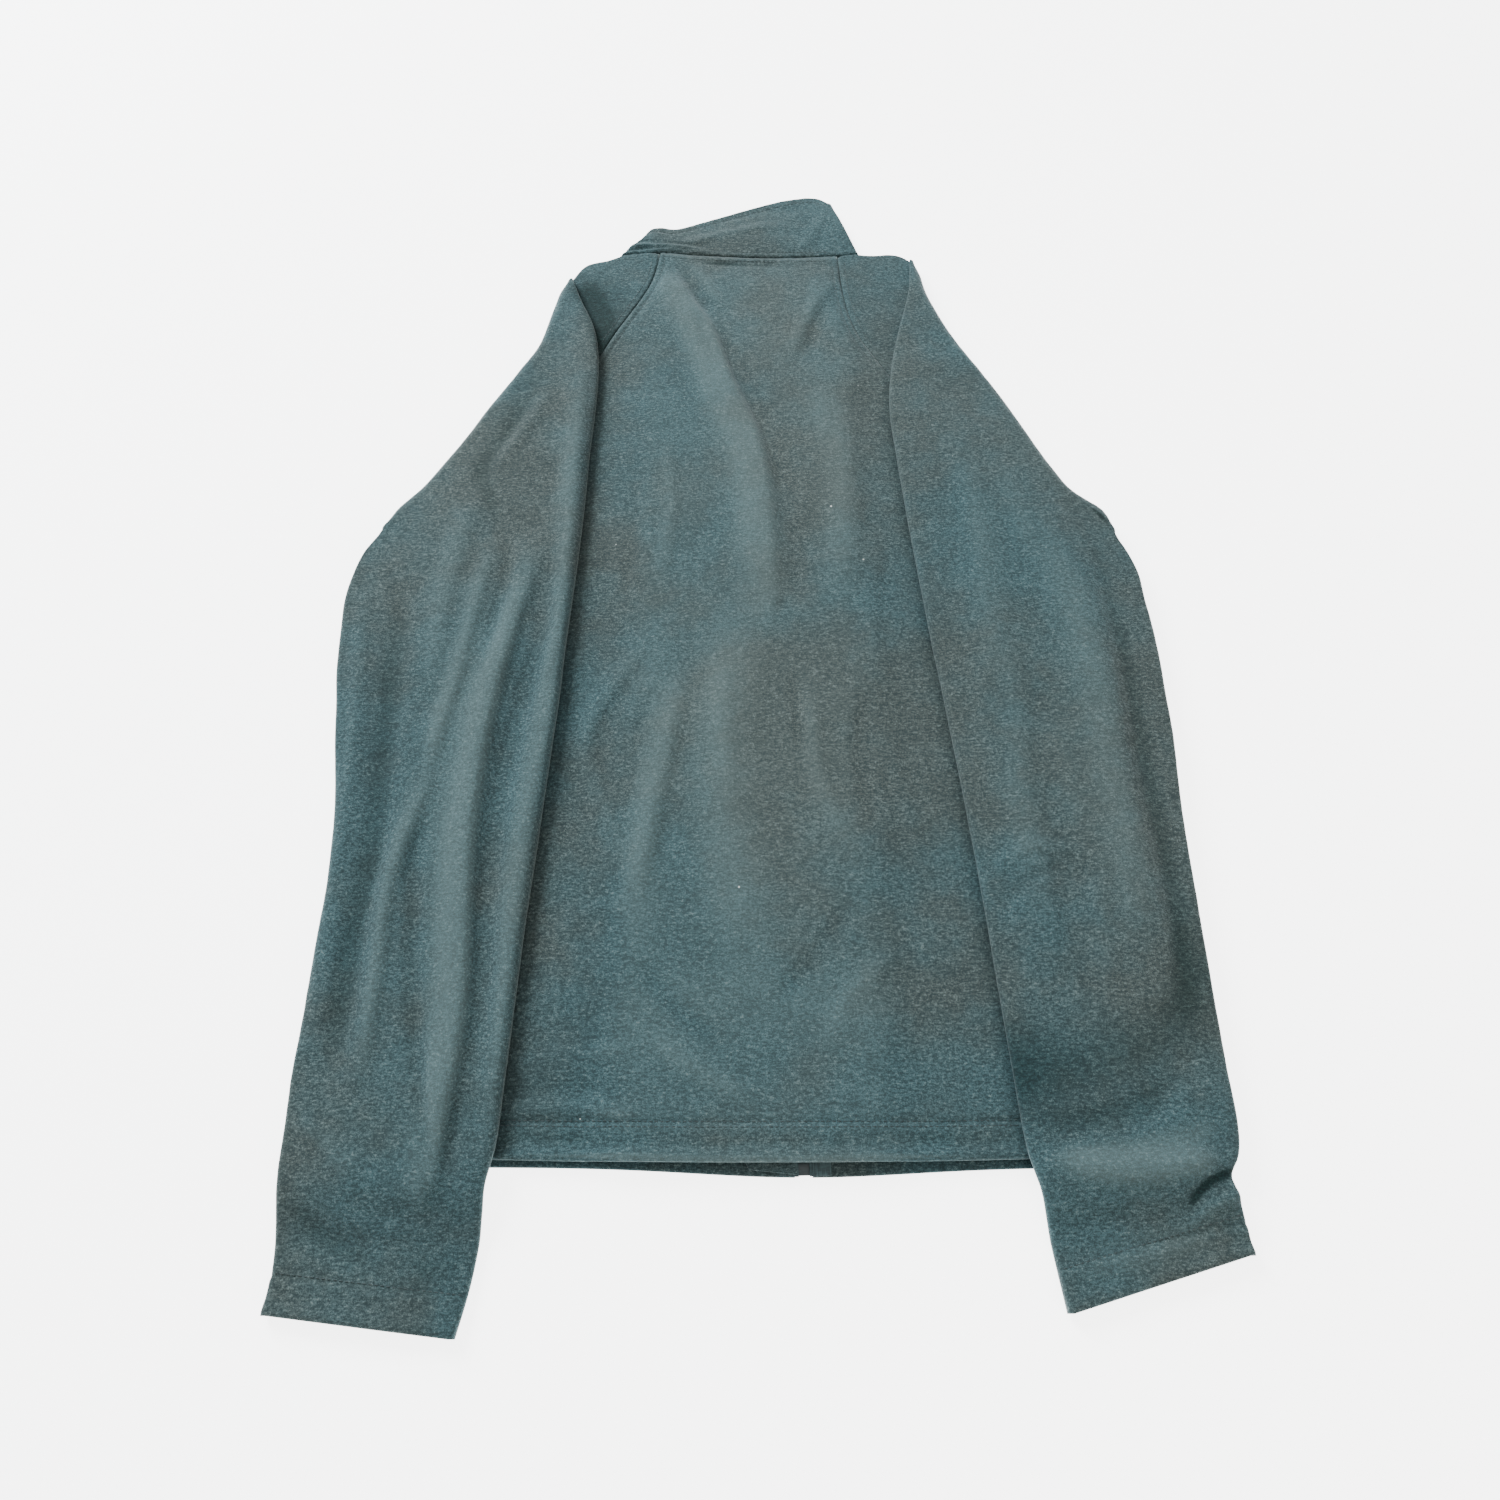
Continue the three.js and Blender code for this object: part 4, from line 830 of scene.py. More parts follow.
def back_surface(reach):
    """Places and relief of one surface of the back."""
    x, y, h, above, curled = back_plan(reach)
    flat = smoothstep(h / reach, 0.5, 1)
    lift = back_lift(x, y) * flat
    relief = lift.copy()
    z = TUBE_MIDDLE + h + lift
    y = y + back_hem_y(x) * (1 - smoothstep(above, 0, HEM_EASE))
    rounding = edge_round(above, CLOTH + HEM_ROLL) * flat
    if reach == TUBE_OUTSIDE:
        neck = nearest_on(np.stack([x[-1], y[-1]], 1)[::4], x, y)[0]
        sewn = sewn_seam(from_raglans(x, y), "back") + sewn_seam(neck, "neck")
        z += flat * (turned_edge(above) + sewn) - rounding
        # Painted shade and light through the relief: seam grooves, the hem's stitched line and hollow and
        # the creases darkened, a little light on turned cloth, and the painted patches added
        relief += flat * (sewn + sum(groove_at(above, *line) for line in HEM_PAINTED_SHADE))
        relief += np.minimum(fold_lift(BACK_CREASES, x, y), 0) * CREASE_PAINTED_SHADE + fold_lift(BACK_PAINTED_LIGHT_AND_SHADE, x, y)
        # Painted shade on the back beside the sleeves' inner edges, where the sleeves stand over it
        shade = 1 - smoothstep(clear_of_sleeves(x, y), 0, SLEEVE_SHADE["reach"])
        relief -= SLEEVE_SHADE["depth"] * shade
    else:
        z += rounding
    return np.stack([x, y, z], 2), relief


def front_surface(half, reach):
    """Places of one surface of a front, and its relief, which is plain."""
    turn = half["outwards"]
    heights = np.concatenate([ROUNDED_ROWS, hem_rows()[::2][3:]])
    shares = np.linspace(1, 0, SEAM_STEPS // 2)
    edge = side_edge(half, "front_raglan", heights, shares)
    curled = (np.arange(len(edge)) < len(heights))[:, None]
    seam_rows = lerp(UNDERARM_Y, FRONT_NECK_Y, (np.arange(len(shares)) + 1) / len(shares))
    row_y = np.concatenate([heights, seam_rows])[:, None]
    above = np.concatenate([heights, np.full(len(shares), FRONT_NECK_Y)])[:, None]
    opening = np.hstack([zip_x(row_y) + turn * FRONT_OPENING / 2, row_y])
    width = np.abs(opening[:, :1] - edge[:, :1])
    out, up = side_columns(curled, reach)
    side_y = np.where(curled, edge[:, 1:], lerp(edge[:, 1:], opening[:, 1:], -out / width))
    share = np.linspace(0, 1, FRONT_COLUMNS + 1)
    inset = np.where(curled, 0, EDGE_COLUMNS * EDGE_STEP / width)
    at = lerp(inset, 1, share)
    x = np.hstack([edge[:, :1] + turn * out, lerp(edge[:, :1], opening[:, :1], at)])
    y = np.hstack([side_y, lerp(edge[:, 1:], opening[:, 1:], at)])
    h = np.hstack([up, np.full(at.shape, reach)])
    above = np.broadcast_to(above, x.shape)
    y = y + front_hem_y(x) * (1 - smoothstep(above, 0, HEM_EASE))
    z = TUBE_MIDDLE - h
    flat = smoothstep(h / reach, 0.5, 1)
    rounding = edge_round(above, CLOTH) * flat
    if reach == TUBE_OUTSIDE:
        from_zip = np.abs(x - (zip_x(y) + turn * FRONT_OPENING / 2))
        z += rounding - flat * (groove_at(above, *FRONT_HEM_LINE) + groove_at(from_zip, *ZIP_LINE))
    else:
        z -= rounding
    return np.stack([x, y, z], 2), np.zeros(x.shape)


def cap_edge(half, key):
    """Plan places along the seam that a sleeve's cap starts from, in step with its fold."""
    at = np.interp(np.linspace(0, 1, ACROSS_STEPS), ACROSS, np.arange(len(ACROSS)))
    seam = raglan_seam(half, key, True, np.linspace(0, 1, 200))
    seam[0, 1] -= SEAM_GAP / 2
    neck = np.array([half["neck"][0], half["neck"][1] - SEAM_GAP / 2])
    along = np.clip((at - 1) / (len(ACROSS) - 2), 0, 1)
    places = places_on(seam, np.linspace(0, 1, len(seam)), along)
    before = np.clip(at, 0, 1)[:, None]
    return np.where(before < 1, lerp(neck, seam[0], before), places)


def unit(v):
    return np.asarray(v, float) / np.linalg.norm(v)


def edge_directions(half, fold_line):
    """Directions in which the two edges of a sleeve's tube bulge: at its seam, its fold and its run."""
    turn = half["outwards"]
    at_seam = (unit((turn, 0)), unit((UNDERARM_EDGE[0] * turn, UNDERARM_EDGE[1])))
    at_fold = (FOLD_CORNER * unit(fold_line[0] - fold_line[2]), unit(fold_line[-1] - fold_line[-3]))
    at_run = (unit((-turn, 0)), unit((turn, 0)))
    return at_seam, at_fold, at_run


def blend_ends(a, b, share):
    """Directions between two pairs, with lengths between theirs."""
    mixed = [lerp(p, q, share) for p, q in zip(a, b)]
    lengths = [lerp(np.linalg.norm(p), np.linalg.norm(q), share) for p, q in zip(a, b)]
    return [m * length / np.linalg.norm(m) for m, length in zip(mixed, lengths)]


def tube_ring(near, far, ends, reach):
    """Plan places, heights and shares across of one ring of a flat tube."""
    t = np.linspace(0, 1, END_STEPS + 1)[1:-1]
    bulge = reach * np.sin(np.pi * t)[:, None]
    outer = lerp(near[-1], far[-1], t[:, None]) + ends[1] * bulge
    inner = lerp(far[0], near[0], t[:, None]) + ends[0] * bulge
    plan = np.vstack([near, outer, far[::-1], inner])
    turn = reach * np.cos(np.pi * t)
    full = np.full(len(near), reach)
    height = np.concatenate([full, turn, -full, -turn])
    across = np.linspace(0, 1, len(near))
    share = np.concatenate([across, np.ones(len(t)), across[::-1], np.zeros(len(t))])
    return plan, height, share


def pinched(height, where, turned):
    """Height of a fold's ring: the inner corner is pressed flatter than the rest."""
    press = 1 - FOLD_END["pinch"] * (1 - where) ** FOLD_END["ease"]
    return FOLD_AXIS_Z - press * (FOLD_RADIUS - height) * math.cos(math.pi * turned)


def slumped(where, share):
    """How far the inner corner of a fold slides down the back, by the share of the turn."""
    return FOLD_END["slump"] * share * (1 - where) ** FOLD_END["ease"]


def run_stations(half, fold_line):
    """Row numbers of the folded run's sections, and its two edges at each."""
    turn = half["outwards"]
    sections = np.asarray(half["sections"], float)
    first = np.array([[*fold_line[0], *fold_line[-1], 0.0]])
    shift = np.array([turn * TUBE_OUTSIDE, 0, -turn * TUBE_OUTSIDE, 0, 0])
    table = np.vstack([first, sections + shift])
    dense = np.linspace(0, len(table) - 1, 1200)
    rows = rows_at(table, dense)
    middle = (rows[:, 0:2] + rows[:, 2:4]) / 2
    reached = line_lengths(middle)
    length = reached[-1]
    even = np.linspace(0, length, int(length / RUN_STEP))[1:-1]
    ends = length - np.array(ROUNDED_ROWS[::-1])
    places = np.concatenate([even[even < ends[0] - 1], ends])
    at = np.interp(places, reached, dense)
    return at - 1, rows_at(table, at), length - places


def sleeve_surface(half, reach):
    """Rings of one surface of a sleeve, from its seam over its fold to its cuff, and their relief."""
    fold_line = points_at(half["fold"], np.linspace(0, 1, ACROSS_STEPS))
    normals = line_normals(fold_line) * half["outwards"]
    at_seam, at_fold, at_run = edge_directions(half, fold_line)
    across = np.linspace(0, 1, ACROSS_STEPS)
    rings, relief = [], []

    back_edge, front_edge = cap_edge(half, "back_raglan"), cap_edge(half, "front_raglan")
    seam_line = smooth_line(half["back_raglan"], 4)
    for share in np.linspace(0, 1, CAP_STEPS) ** CAP["crowding"]:
        bow = half["cap_bow"] * math.sin(math.pi * share ** 2) * (1 - across[:, None]) ** CAP_BOW_EASE
        near = lerp(back_edge, fold_line, share) + (0, 1) * bow
        far = lerp(front_edge, fold_line, share) + (0, 1) * bow
        plan, height, where = tube_ring(near, far, blend_ends(at_seam, at_fold, share), reach)
        upper = smoothstep(height, 0, TUBE_INSIDE)
        lift = np.clip(fold_lift(half["creases"], *plan.T), *CAP["creases"]) * upper
        sewn = 0
        if reach == TUBE_OUTSIDE:
            sewn = sewn_seam(nearest_on(seam_line, *plan.T)[0], "cap") * upper
        lift *= smoothstep(share, 0, CAP["creases_from"])
        pressed = smoothstep(share, CAP["pressed_from"], 1)
        flat = lerp(TUBE_MIDDLE + height, pinched(height, where, 0), pressed)
        rings.append(np.column_stack([plan, flat + lift + sewn]))
        # Painted shade over the cap, with the painted patches and the seam's grooves, added to its relief
        relief.append(lift + sewn + (fold_lift(half["tones"], *plan.T) + CAP["tone"]) * upper)

    for share in np.linspace(0, 1, FOLD_STEPS + 1)[1:]:
        plan, height, where = tube_ring(fold_line, fold_line, at_fold, reach)
        radius = FOLD_RADIUS - height
        out = places_on(normals, across, where)
        to_end = np.minimum(where, 1 - where)
        out *= lerp(FOLD_END["least"], 1, smoothstep(to_end, 0, FOLD_END["reach"]))[:, None]
        place = plan + out * (radius * math.sin(math.pi * share))[:, None]
        place[:, 1] -= slumped(where, (1 - math.cos(math.pi * share)) / 2)
        rings.append(np.column_stack([place, pinched(height, where, share)]))
        # Painted light: the folded top is given the relief of a slight ridge
        relief.append(np.full(len(plan), FOLD_PAINTED_LIGHT))

    at, rows, to_cuff = run_stations(half, fold_line)
    straight = lerp(fold_line[0], fold_line[-1], across[:, None])
    plans, heights, shares = [], [], []
    for s, row in zip(at, rows):
        keep = max(0.0, 1 - (s + 1) / RUN_EASE)
        line = lerp(row[0:2], row[2:4], across[:, None]) + (fold_line - straight) * keep
        ends = blend_ends(at_fold, at_run, float(smoothstep(s, -1, RUN_EASE)))
        plan, height, where = tube_ring(line, line, ends, reach)
        plan[:, 1] -= slumped(where, 1 - float(smoothstep(s, *RUN["opened"])))
        plans.append(plan)
        heights.append(height)
        shares.append(where)
    plan, height, where = np.array(plans), np.array(heights), np.array(shares)
    x, y = plan[..., 0], plan[..., 1]
    cuff = to_cuff[:, None]
    upper = smoothstep(-height, -TUBE_INSIDE, TUBE_INSIDE)
    calm = RUN["calm"] * (1 - smoothstep(cuff, 0, RUN["calm_reach"]))
    shown = smoothstep(at, *RUN["shown"])[:, None] * (1 - calm)
    folds = fold_lift(half["folds"], x, y)
    creases = fold_lift(half["creases"], x, y)
    crown = rows[:, 4][:, None] * 4 * where * (1 - where)
    top = crown + shown * (folds + creases)
    top = np.where(top < 0, np.maximum(RUN["hollows"] * top, RUN["deepest"]), top)
    lower = RUN["lower"] * np.maximum(shown * folds, 0)
    dropped = smoothstep(DROP["start"] - y, 0, DROP["length"])
    lift = lerp(lower * (1 - dropped), top, upper) - DROP["height"] * dropped
    opened = smoothstep(at, *RUN["opened"])[:, None]
    z = lerp(pinched(height, where, 1), FOLD_AXIS_Z + FOLD_RADIUS - height, opened) + lift
    rounding = edge_round(cuff, CLOTH) * np.sign(height) * smoothstep(np.abs(height) / reach, 0.3, 1)
    sewn = 0
    if reach == TUBE_OUTSIDE:
        sewn = turned_edge(cuff) * upper
        z += rounding + sewn
    else:
        z -= rounding
    rings.extend(np.stack([x, y, z], 2))
    # Painted light and shade on the run: the painted patches, and painted shade along the cuff's stitched
    # line, added to its relief
    tone = fold_lift(half["tones"], x, y) + groove_at(cuff, *CUFF_PAINTED_SHADE)
    relief.extend((top + tone) * upper)
    return np.array(rings), np.array(relief)


def opening_at(half, y):
    """The edge of a front at the zip."""
    return np.array([zip_x(y) + half["outwards"] * FRONT_OPENING / 2, y])


def collar_front(half, share):
    """Base and top of the collar's front half, from the zip to the side of the neck."""
    seam, neck = np.array(half["front_raglan"][0], float), np.array(half["neck"], float)
    opening = opening_at(half, FRONT_NECK_Y)
    if share < COLLAR_SEAM_SHARE:
        base = lerp(opening, seam, share / COLLAR_SEAM_SHARE)
    else:
        base = lerp(seam, neck, (share - COLLAR_SEAM_SHARE) / (1 - COLLAR_SEAM_SHARE))
    end = np.array(COLLAR_TOP[-1 if half["name"] == "right" else 0], float)
    top_open = opening_at(half, COLLAR_FRONT_TOP_Y)
    top = np.array([lerp(top_open[0], end[0], share), lerp(top_open[1], end[1], share ** 2)])
    return base + (0, SEAM_GAP), top


def collar_half_columns(half, reach):
    """Base, top and height of the columns of the collar's front half, up to its turn beside the neck."""
    columns = [(*collar_front(half, share), -reach) for share in np.linspace(0, 1, 34)]
    base, top = collar_front(half, 1)
    for t in np.linspace(0, 1, END_STEPS + 1)[1:-1]:
        out = np.array([half["outwards"] * reach * math.sin(math.pi * t), 0])
        columns.append((base + out, top + out, -reach * math.cos(math.pi * t)))
    return columns


def collar_surface(reach):
    """Places and relief of one surface of the collar, from the zip round the neck to the zip."""
    x, y, *_ = back_plan(reach)
    neck_row = np.stack([x[-1], y[-1]], 1)[::2]
    places = np.vstack([
        lerp(np.array(LEFT["neck"], float), neck_row[0], np.linspace(0, 1, 14)[:-1, None]),
        neck_row,
        lerp(neck_row[-1], np.array(RIGHT["neck"], float), np.linspace(0, 1, 8)[1:, None]),
    ])
    share = (places[:, 0] - LEFT["neck"][0]) / (RIGHT["neck"][0] - LEFT["neck"][0])
    tops = points_at(COLLAR_TOP, np.clip(share, 0, 1))
    back = [(base + (0, SEAM_GAP), top, reach) for base, top in zip(places, tops)]
    columns = [*collar_half_columns(LEFT, reach), *back, *collar_half_columns(RIGHT, reach)[::-1]]
    bases = np.array([c[0] for c in columns])
    tops = np.array([c[1] for c in columns])
    h = np.array([c[2] for c in columns])
    height = np.linalg.norm(tops - bases, axis=1)
    rounded = 1 - np.array(ROUNDED_ROWS[::-1]) / COLLAR_HEIGHT
    steps = np.concatenate([np.linspace(0, 1, 30)[:-1] * COLLAR_ROWS_END, rounded])
    plan = lerp(bases, tops, steps[:, None, None])
    below_top = height * (1 - steps[:, None])
    above_seam = height * steps[:, None]
    upper = smoothstep(h / reach, 0, 1)
    bow = COLLAR_BOW * np.sin(np.pi * steps)[:, None] * upper
    slack = np.maximum(fold_lift(COLLAR_CREASES, plan[..., 0], plan[..., 1]), COLLAR_DEEPEST) * upper
    z = TUBE_MIDDLE + h + bow + slack
    rounding = edge_round(below_top, CLOTH) * np.sign(h)
    relief = slack + bow
    if reach == TUBE_OUTSIDE:
        sewn = groove_at(below_top, *COLLAR_EDGE_LINE) + sewn_seam(above_seam, "collar")
        z += sewn * np.sign(h) - rounding
        # Painted shade in the collar's seam grooves, and a little painted light on its turned cloth, through
        # the relief
        relief += COLLAR_SEAM_PAINTED_SHADING * sewn
    else:
        z += rounding
    return np.dstack([plan, z]), relief


# Materials

class Shader:
    """A node tree for one material, with short calls for what the finishes repeat."""

    def __init__(self, name, roughness):
        self.material = bpy.data.materials.new(name)
        self.material.use_nodes = True
        self.tree = self.material.node_tree
        self.surface = self.tree.nodes["Principled BSDF"]
        self.surface.inputs["Roughness"].default_value = roughness
        self.place = self.tree.nodes.new("ShaderNodeTexCoord").outputs["Object"]

    def link(self, source, target):
        self.tree.links.new(source, target)

    def new(self, kind, **numbers):
        """A node with numbers set on its sockets."""
        node = self.tree.nodes.new(kind)
        for key, number in numbers.items():
            node.inputs[key].default_value = number
        return node

    def fill(self, socket, value):
        """Links a socket, or sets its number or colour."""
        if isinstance(value, (int, float)):
            socket.default_value = value
        elif isinstance(value, tuple):
            socket.default_value = (*value, 1)
        else:
            self.link(value, socket)

    def scaled(self, scale, turn=0.0):
        """Object coordinates at a scale, turned about Z."""
        node = self.new("ShaderNodeMapping", Scale=scale, Rotation=(0, 0, turn))
        self.link(self.place, node.inputs["Vector"])
        return node.outputs["Vector"]

    def noise(self, scale, detail=3.0, roughness=0.5, vector=None):
        node = self.new("ShaderNodeTexNoise", Scale=scale, Detail=detail, Roughness=roughness)
        self.link(vector or self.place, node.inputs["Vector"])
        return node.outputs["Fac"]

    def patch(self, middle, reach):
        """1 in the middle of a soft oval patch, and 0 outside it."""
        node = self.tree.nodes.new("ShaderNodeMapping")
        node.vector_type = "TEXTURE"
        node.inputs["Location"].default_value = middle
        node.inputs["Scale"].default_value = reach
        self.link(self.place, node.inputs["Vector"])
        gradient = self.tree.nodes.new("ShaderNodeTexGradient")
        gradient.gradient_type = "SPHERICAL"
        self.link(node.outputs["Vector"], gradient.inputs["Vector"])
        return gradient.outputs["Fac"]

    def ranged(self, value, low, high, out_low=0.0, out_high=1.0):
        """A value that goes smoothly from one number at low to another at high."""
        node = self.tree.nodes.new("ShaderNodeMapRange")
        node.interpolation_type = "SMOOTHSTEP"
        for key, number in zip(("From Min", "From Max", "To Min", "To Max"), (low, high, out_low, out_high)):
            node.inputs[key].default_value = number
        self.link(value, node.inputs["Value"])
        return node.outputs["Result"]

    def maths(self, operation, a, b):
        node = self.tree.nodes.new("ShaderNodeMath")
        node.operation = operation
        for socket, value in zip(node.inputs, (a, b)):
            self.fill(socket, value)
        return node.outputs["Value"]

    def weighted(self, *parts):
        """The sum of values, each times its weight."""
        total = None
        for value, weight in parts:
            part = self.maths("MULTIPLY", value, weight)
            total = self.maths("ADD", total, part) if total else part
        return total

    def mixed(self, share, a, b, blend="MIX"):
        node = self.tree.nodes.new("ShaderNodeMix")
        node.data_type = "RGBA"
        node.blend_type = blend
        for number, value in ((0, share), (6, a), (7, b)):
            self.fill(node.inputs[number], value)
        return node.outputs[2]

    def bump(self, height, distance, strength, normal=None):
        node = self.new("ShaderNodeBump", Strength=strength, Distance=distance)
        self.link(height, node.inputs["Height"])
        if normal:
            self.link(normal, node.inputs["Normal"])
        return node.outputs["Normal"]

    def finish(self, colour, normal):
        self.link(colour, self.surface.inputs["Base Color"])
        self.link(normal, self.surface.inputs["Normal"])
        return self.material


def made_once(make):
    """The material of a function that makes it, made at its first use only."""
    return bpy.data.materials.get(MATERIAL_NAMES[make]) or make()


def fleece_material():
    """Brushed fleece: teal to grey-green pile with fine tufts, faint rows of knit and pale lint, and painted
    shade and highlights that follow the relief.
    """
    colours, sizes = bpy.context.scene.jacket_colours, bpy.context.scene.jacket_sizes
    s = Shader("fleece_pile", 0.95)
    relief = s.tree.nodes.new("ShaderNodeAttribute")
    relief.attribute_name = "relief"
    # Painted light and shade: ridges of the relief lean the fleece to teal, troughs to grey green
    painted_ridge_light = s.ranged(relief.outputs["Fac"], -1.0, 6.0)
    cast = s.noise(FLEECE["cast"], 2.0, 0.5)
    patches = s.noise(FLEECE["patches"], 4.0, 0.6)
    share = s.ranged(cast, 0.28, 0.66, -0.05, 0.8)
    share = s.maths("ADD", share, s.ranged(patches, 0.3, 0.72, -0.18, 0.25))
    share = s.maths("SUBTRACT", share, s.maths("MULTIPLY", painted_ridge_light, 0.35))
    worn = s.patch(FLEECE["worn_middle"], FLEECE["worn_reach"])
    share = s.maths("ADD", share, s.maths("MULTIPLY", worn, FLEECE["worn"]))
    base = s.mixed(s.ranged(share, 0.0, 1.0), tuple(colours.teal), tuple(colours.olive))
    base = s.mixed(s.ranged(patches, 0.38, 0.68, 0, 0.22), base, tuple(colours.shade))

    tufts = s.noise(FLEECE["tufts"], 2.0, 0.6)
    clumps = s.noise(FLEECE["clumps"], 3.0, 0.6)
    rows = s.noise(1.0, 2.0, 0.5, s.scaled(FLEECE["rows"]))
    parts = ((tufts, "tuft_part"), (clumps, "clump_part"), (rows, "row_part"))
    pile = s.weighted(*((value, FLEECE[part]) for value, part in parts))
    deep = s.ranged(pile, 0.56, 0.42)
    base = s.mixed(s.maths("MULTIPLY", deep, 0.8), base, tuple(colours.shade))
    base = s.mixed(s.ranged(pile, 0.54, 0.62, 0, 0.5), base, tuple(colours.tips))
    # Painted shade: the fleece is darkened where the relief is low, in troughs, creases, seam grooves,
    # beside the sleeves and in the painted shade patches
    hollow = s.ranged(relief.outputs["Fac"], 0.3, -4.5, 0, 1)
    base = s.mixed(hollow, base, FLEECE["hollow"], "MULTIPLY")
    # Painted highlight: ridges of the relief are lightened towards the pile's tips
    base = s.mixed(s.ranged(relief.outputs["Fac"], 1.0, 6.0, 0, 0.22), base, tuple(colours.tips))

    cells = s.new("ShaderNodeTexVoronoi", Scale=FLEECE["lint"])
    s.link(s.place, cells.inputs["Vector"])
    apart = s.tree.nodes.new("ShaderNodeSeparateColor")
    s.link(cells.outputs["Color"], apart.inputs["Color"])
    chosen = s.maths("GREATER_THAN", apart.outputs["Red"], FLEECE["lint_share"])
    size = s.ranged(apart.outputs["Green"], 0.2, 1.0, 0.014, 0.046)
    speck = s.maths("MULTIPLY", chosen, s.maths("LESS_THAN", cells.outputs["Distance"], size))
    base = s.mixed(s.maths("MULTIPLY", speck, 0.8), base, tuple(colours.lint))

    s.surface.inputs["Sheen Weight"].default_value = 0.22
    s.surface.inputs["Sheen Roughness"].default_value = 0.45
    s.surface.inputs["Sheen Tint"].default_value = (0.72, 0.84, 0.85, 1)
    s.surface.inputs["Specular IOR Level"].default_value = 0.18
    crinkles = s.bump(s.noise(FLEECE["crinkles"], 3.0, 0.6), sizes.pile, 0.5)
    return s.finish(base, s.bump(pile, sizes.pile, 0.8, crinkles))


def thread_material():
    """Sewing thread: two twisted plies with a slight gloss."""
    s = Shader("sewing_thread", 0.62)
    plies = s.noise(1.0, 2.0, 0.5, s.scaled((2600.0, 900.0, 2600.0), 0.6))
    colour = tuple(bpy.context.scene.jacket_colours.thread)
    base = s.mixed(s.ranged(plies, 0.4, 0.65), colour, tuple(1.9 * c for c in colour))
    return s.finish(base, s.bump(plies, 0.0001, 0.6))


def tape_material():
    """Woven zip tape: fine ribs along it and a herringbone of crossing threads."""
    s = Shader("zip_tape_weave", 0.82)
    warp = s.noise(1.0, 1.0, 0.4, s.scaled((1900.0, 120.0, 400.0)))
    weft = s.noise(1.0, 1.0, 0.4, s.scaled((260.0, 1500.0, 400.0)))
    weave = s.weighted((warp, 0.6), (weft, 0.4))
    colour = tuple(bpy.context.scene.jacket_colours.tape)
    base = s.mixed(s.ranged(weave, 0.38, 0.62), colour, tuple(2.1 * c for c in colour))
    return s.finish(base, s.bump(weave, 0.00025, 0.7))


def coil_material():
    """Moulded zip coil and stop: dark, satin, and dusty between the teeth."""
    s = Shader("zip_coil_plastic", 0.42)
    scuffs = s.noise(240.0, 4.0, 0.6)
    colour = tuple(bpy.context.scene.jacket_colours.coil)
    base = s.mixed(s.ranged(scuffs, 0.45, 0.7), colour, tuple(2.4 * c for c in colour))
    s.link(s.ranged(scuffs, 0.3, 0.7, 0.34, 0.58), s.surface.inputs["Roughness"])
    return s.finish(base, s.bump(scuffs, 0.0001, 0.4))


def metal_material():
    """Lacquered slider: dark coat, worn to bare metal in small scratches."""
    s = Shader("slider_lacquer", 0.38)
    s.surface.inputs["Metallic"].default_value = 0.8
    scratches = s.noise(1.0, 5.0, 0.65, s.scaled((900.0, 220.0, 900.0), 0.5))
    colour = tuple(bpy.context.scene.jacket_colours.metal)
    base = s.mixed(s.ranged(scratches, 0.56, 0.7), colour, (0.42, 0.43, 0.42))
    s.link(s.ranged(scratches, 0.35, 0.7, 0.28, 0.52), s.surface.inputs["Roughness"])
    return s.finish(base, s.bump(scratches, 0.00005, 0.5))


def floor_material():
    """Pale matt surface with a very faint grain."""
    s = Shader("pale_floor", 0.9)
    s.surface.inputs["Specular IOR Level"].default_value = 0.1
    s.surface.inputs["Emission Color"].default_value = (1, 1, 1, 1)
    s.surface.inputs["Emission Strength"].default_value = bpy.context.scene.jacket_colours.floor_glow
    grain = s.noise(60.0, 3.0, 0.5)
    colour = tuple(bpy.context.scene.jacket_colours.floor)
    base = s.mixed(s.ranged(grain, 0.3, 0.7), colour, tuple(0.985 * c for c in colour))
    return s.finish(base, s.bump(grain, 0.0001, 0.1))


MATERIAL_NAMES = {
    fleece_material: "fleece_pile",
    thread_material: "sewing_thread",
    tape_material: "zip_tape_weave",
    coil_material: "zip_coil_plastic",
    metal_material: "slider_lacquer",
}


# Sewing and small parts

def deselect_all():
    bpy.ops.object.select_all(action="DESELECT")


def make_active(obj):
    deselect_all()
    obj.select_set(True)
    bpy.context.view_layer.objects.active = obj


def wear(obj, material, slot_name, *nodes):
    """Gives a piece its material, its body and the nodes that it stands for; its slot name is not used."""
    obj.data.materials.clear()
    obj.data.materials.append(made_once(material))
    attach(obj, "root")
    if nodes:
        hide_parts(*nodes)


def stitch_form():
    """One stitch: a short thread with pointed ends, lying along X."""
    sizes = bpy.context.scene.jacket_sizes
    deselect_all()
    bpy.ops.mesh.primitive_uv_sphere_add(segments=6, ring_count=4, radius=0.5)
    obj = bpy.context.object
    obj.rotation_euler = (0, math.pi / 2, 0)
    bpy.ops.object.transform_apply(location=False, rotation=True, scale=False)
    obj.scale = (sizes.stitch_length, sizes.thread, sizes.thread)
    bpy.ops.object.transform_apply(location=False, rotation=False, scale=True)
    places = np.array([v.co[:] for v in obj.data.vertices])
    faces = [list(p.vertices) for p in obj.data.polygons]
    bpy.data.objects.remove(obj)
    return places, faces


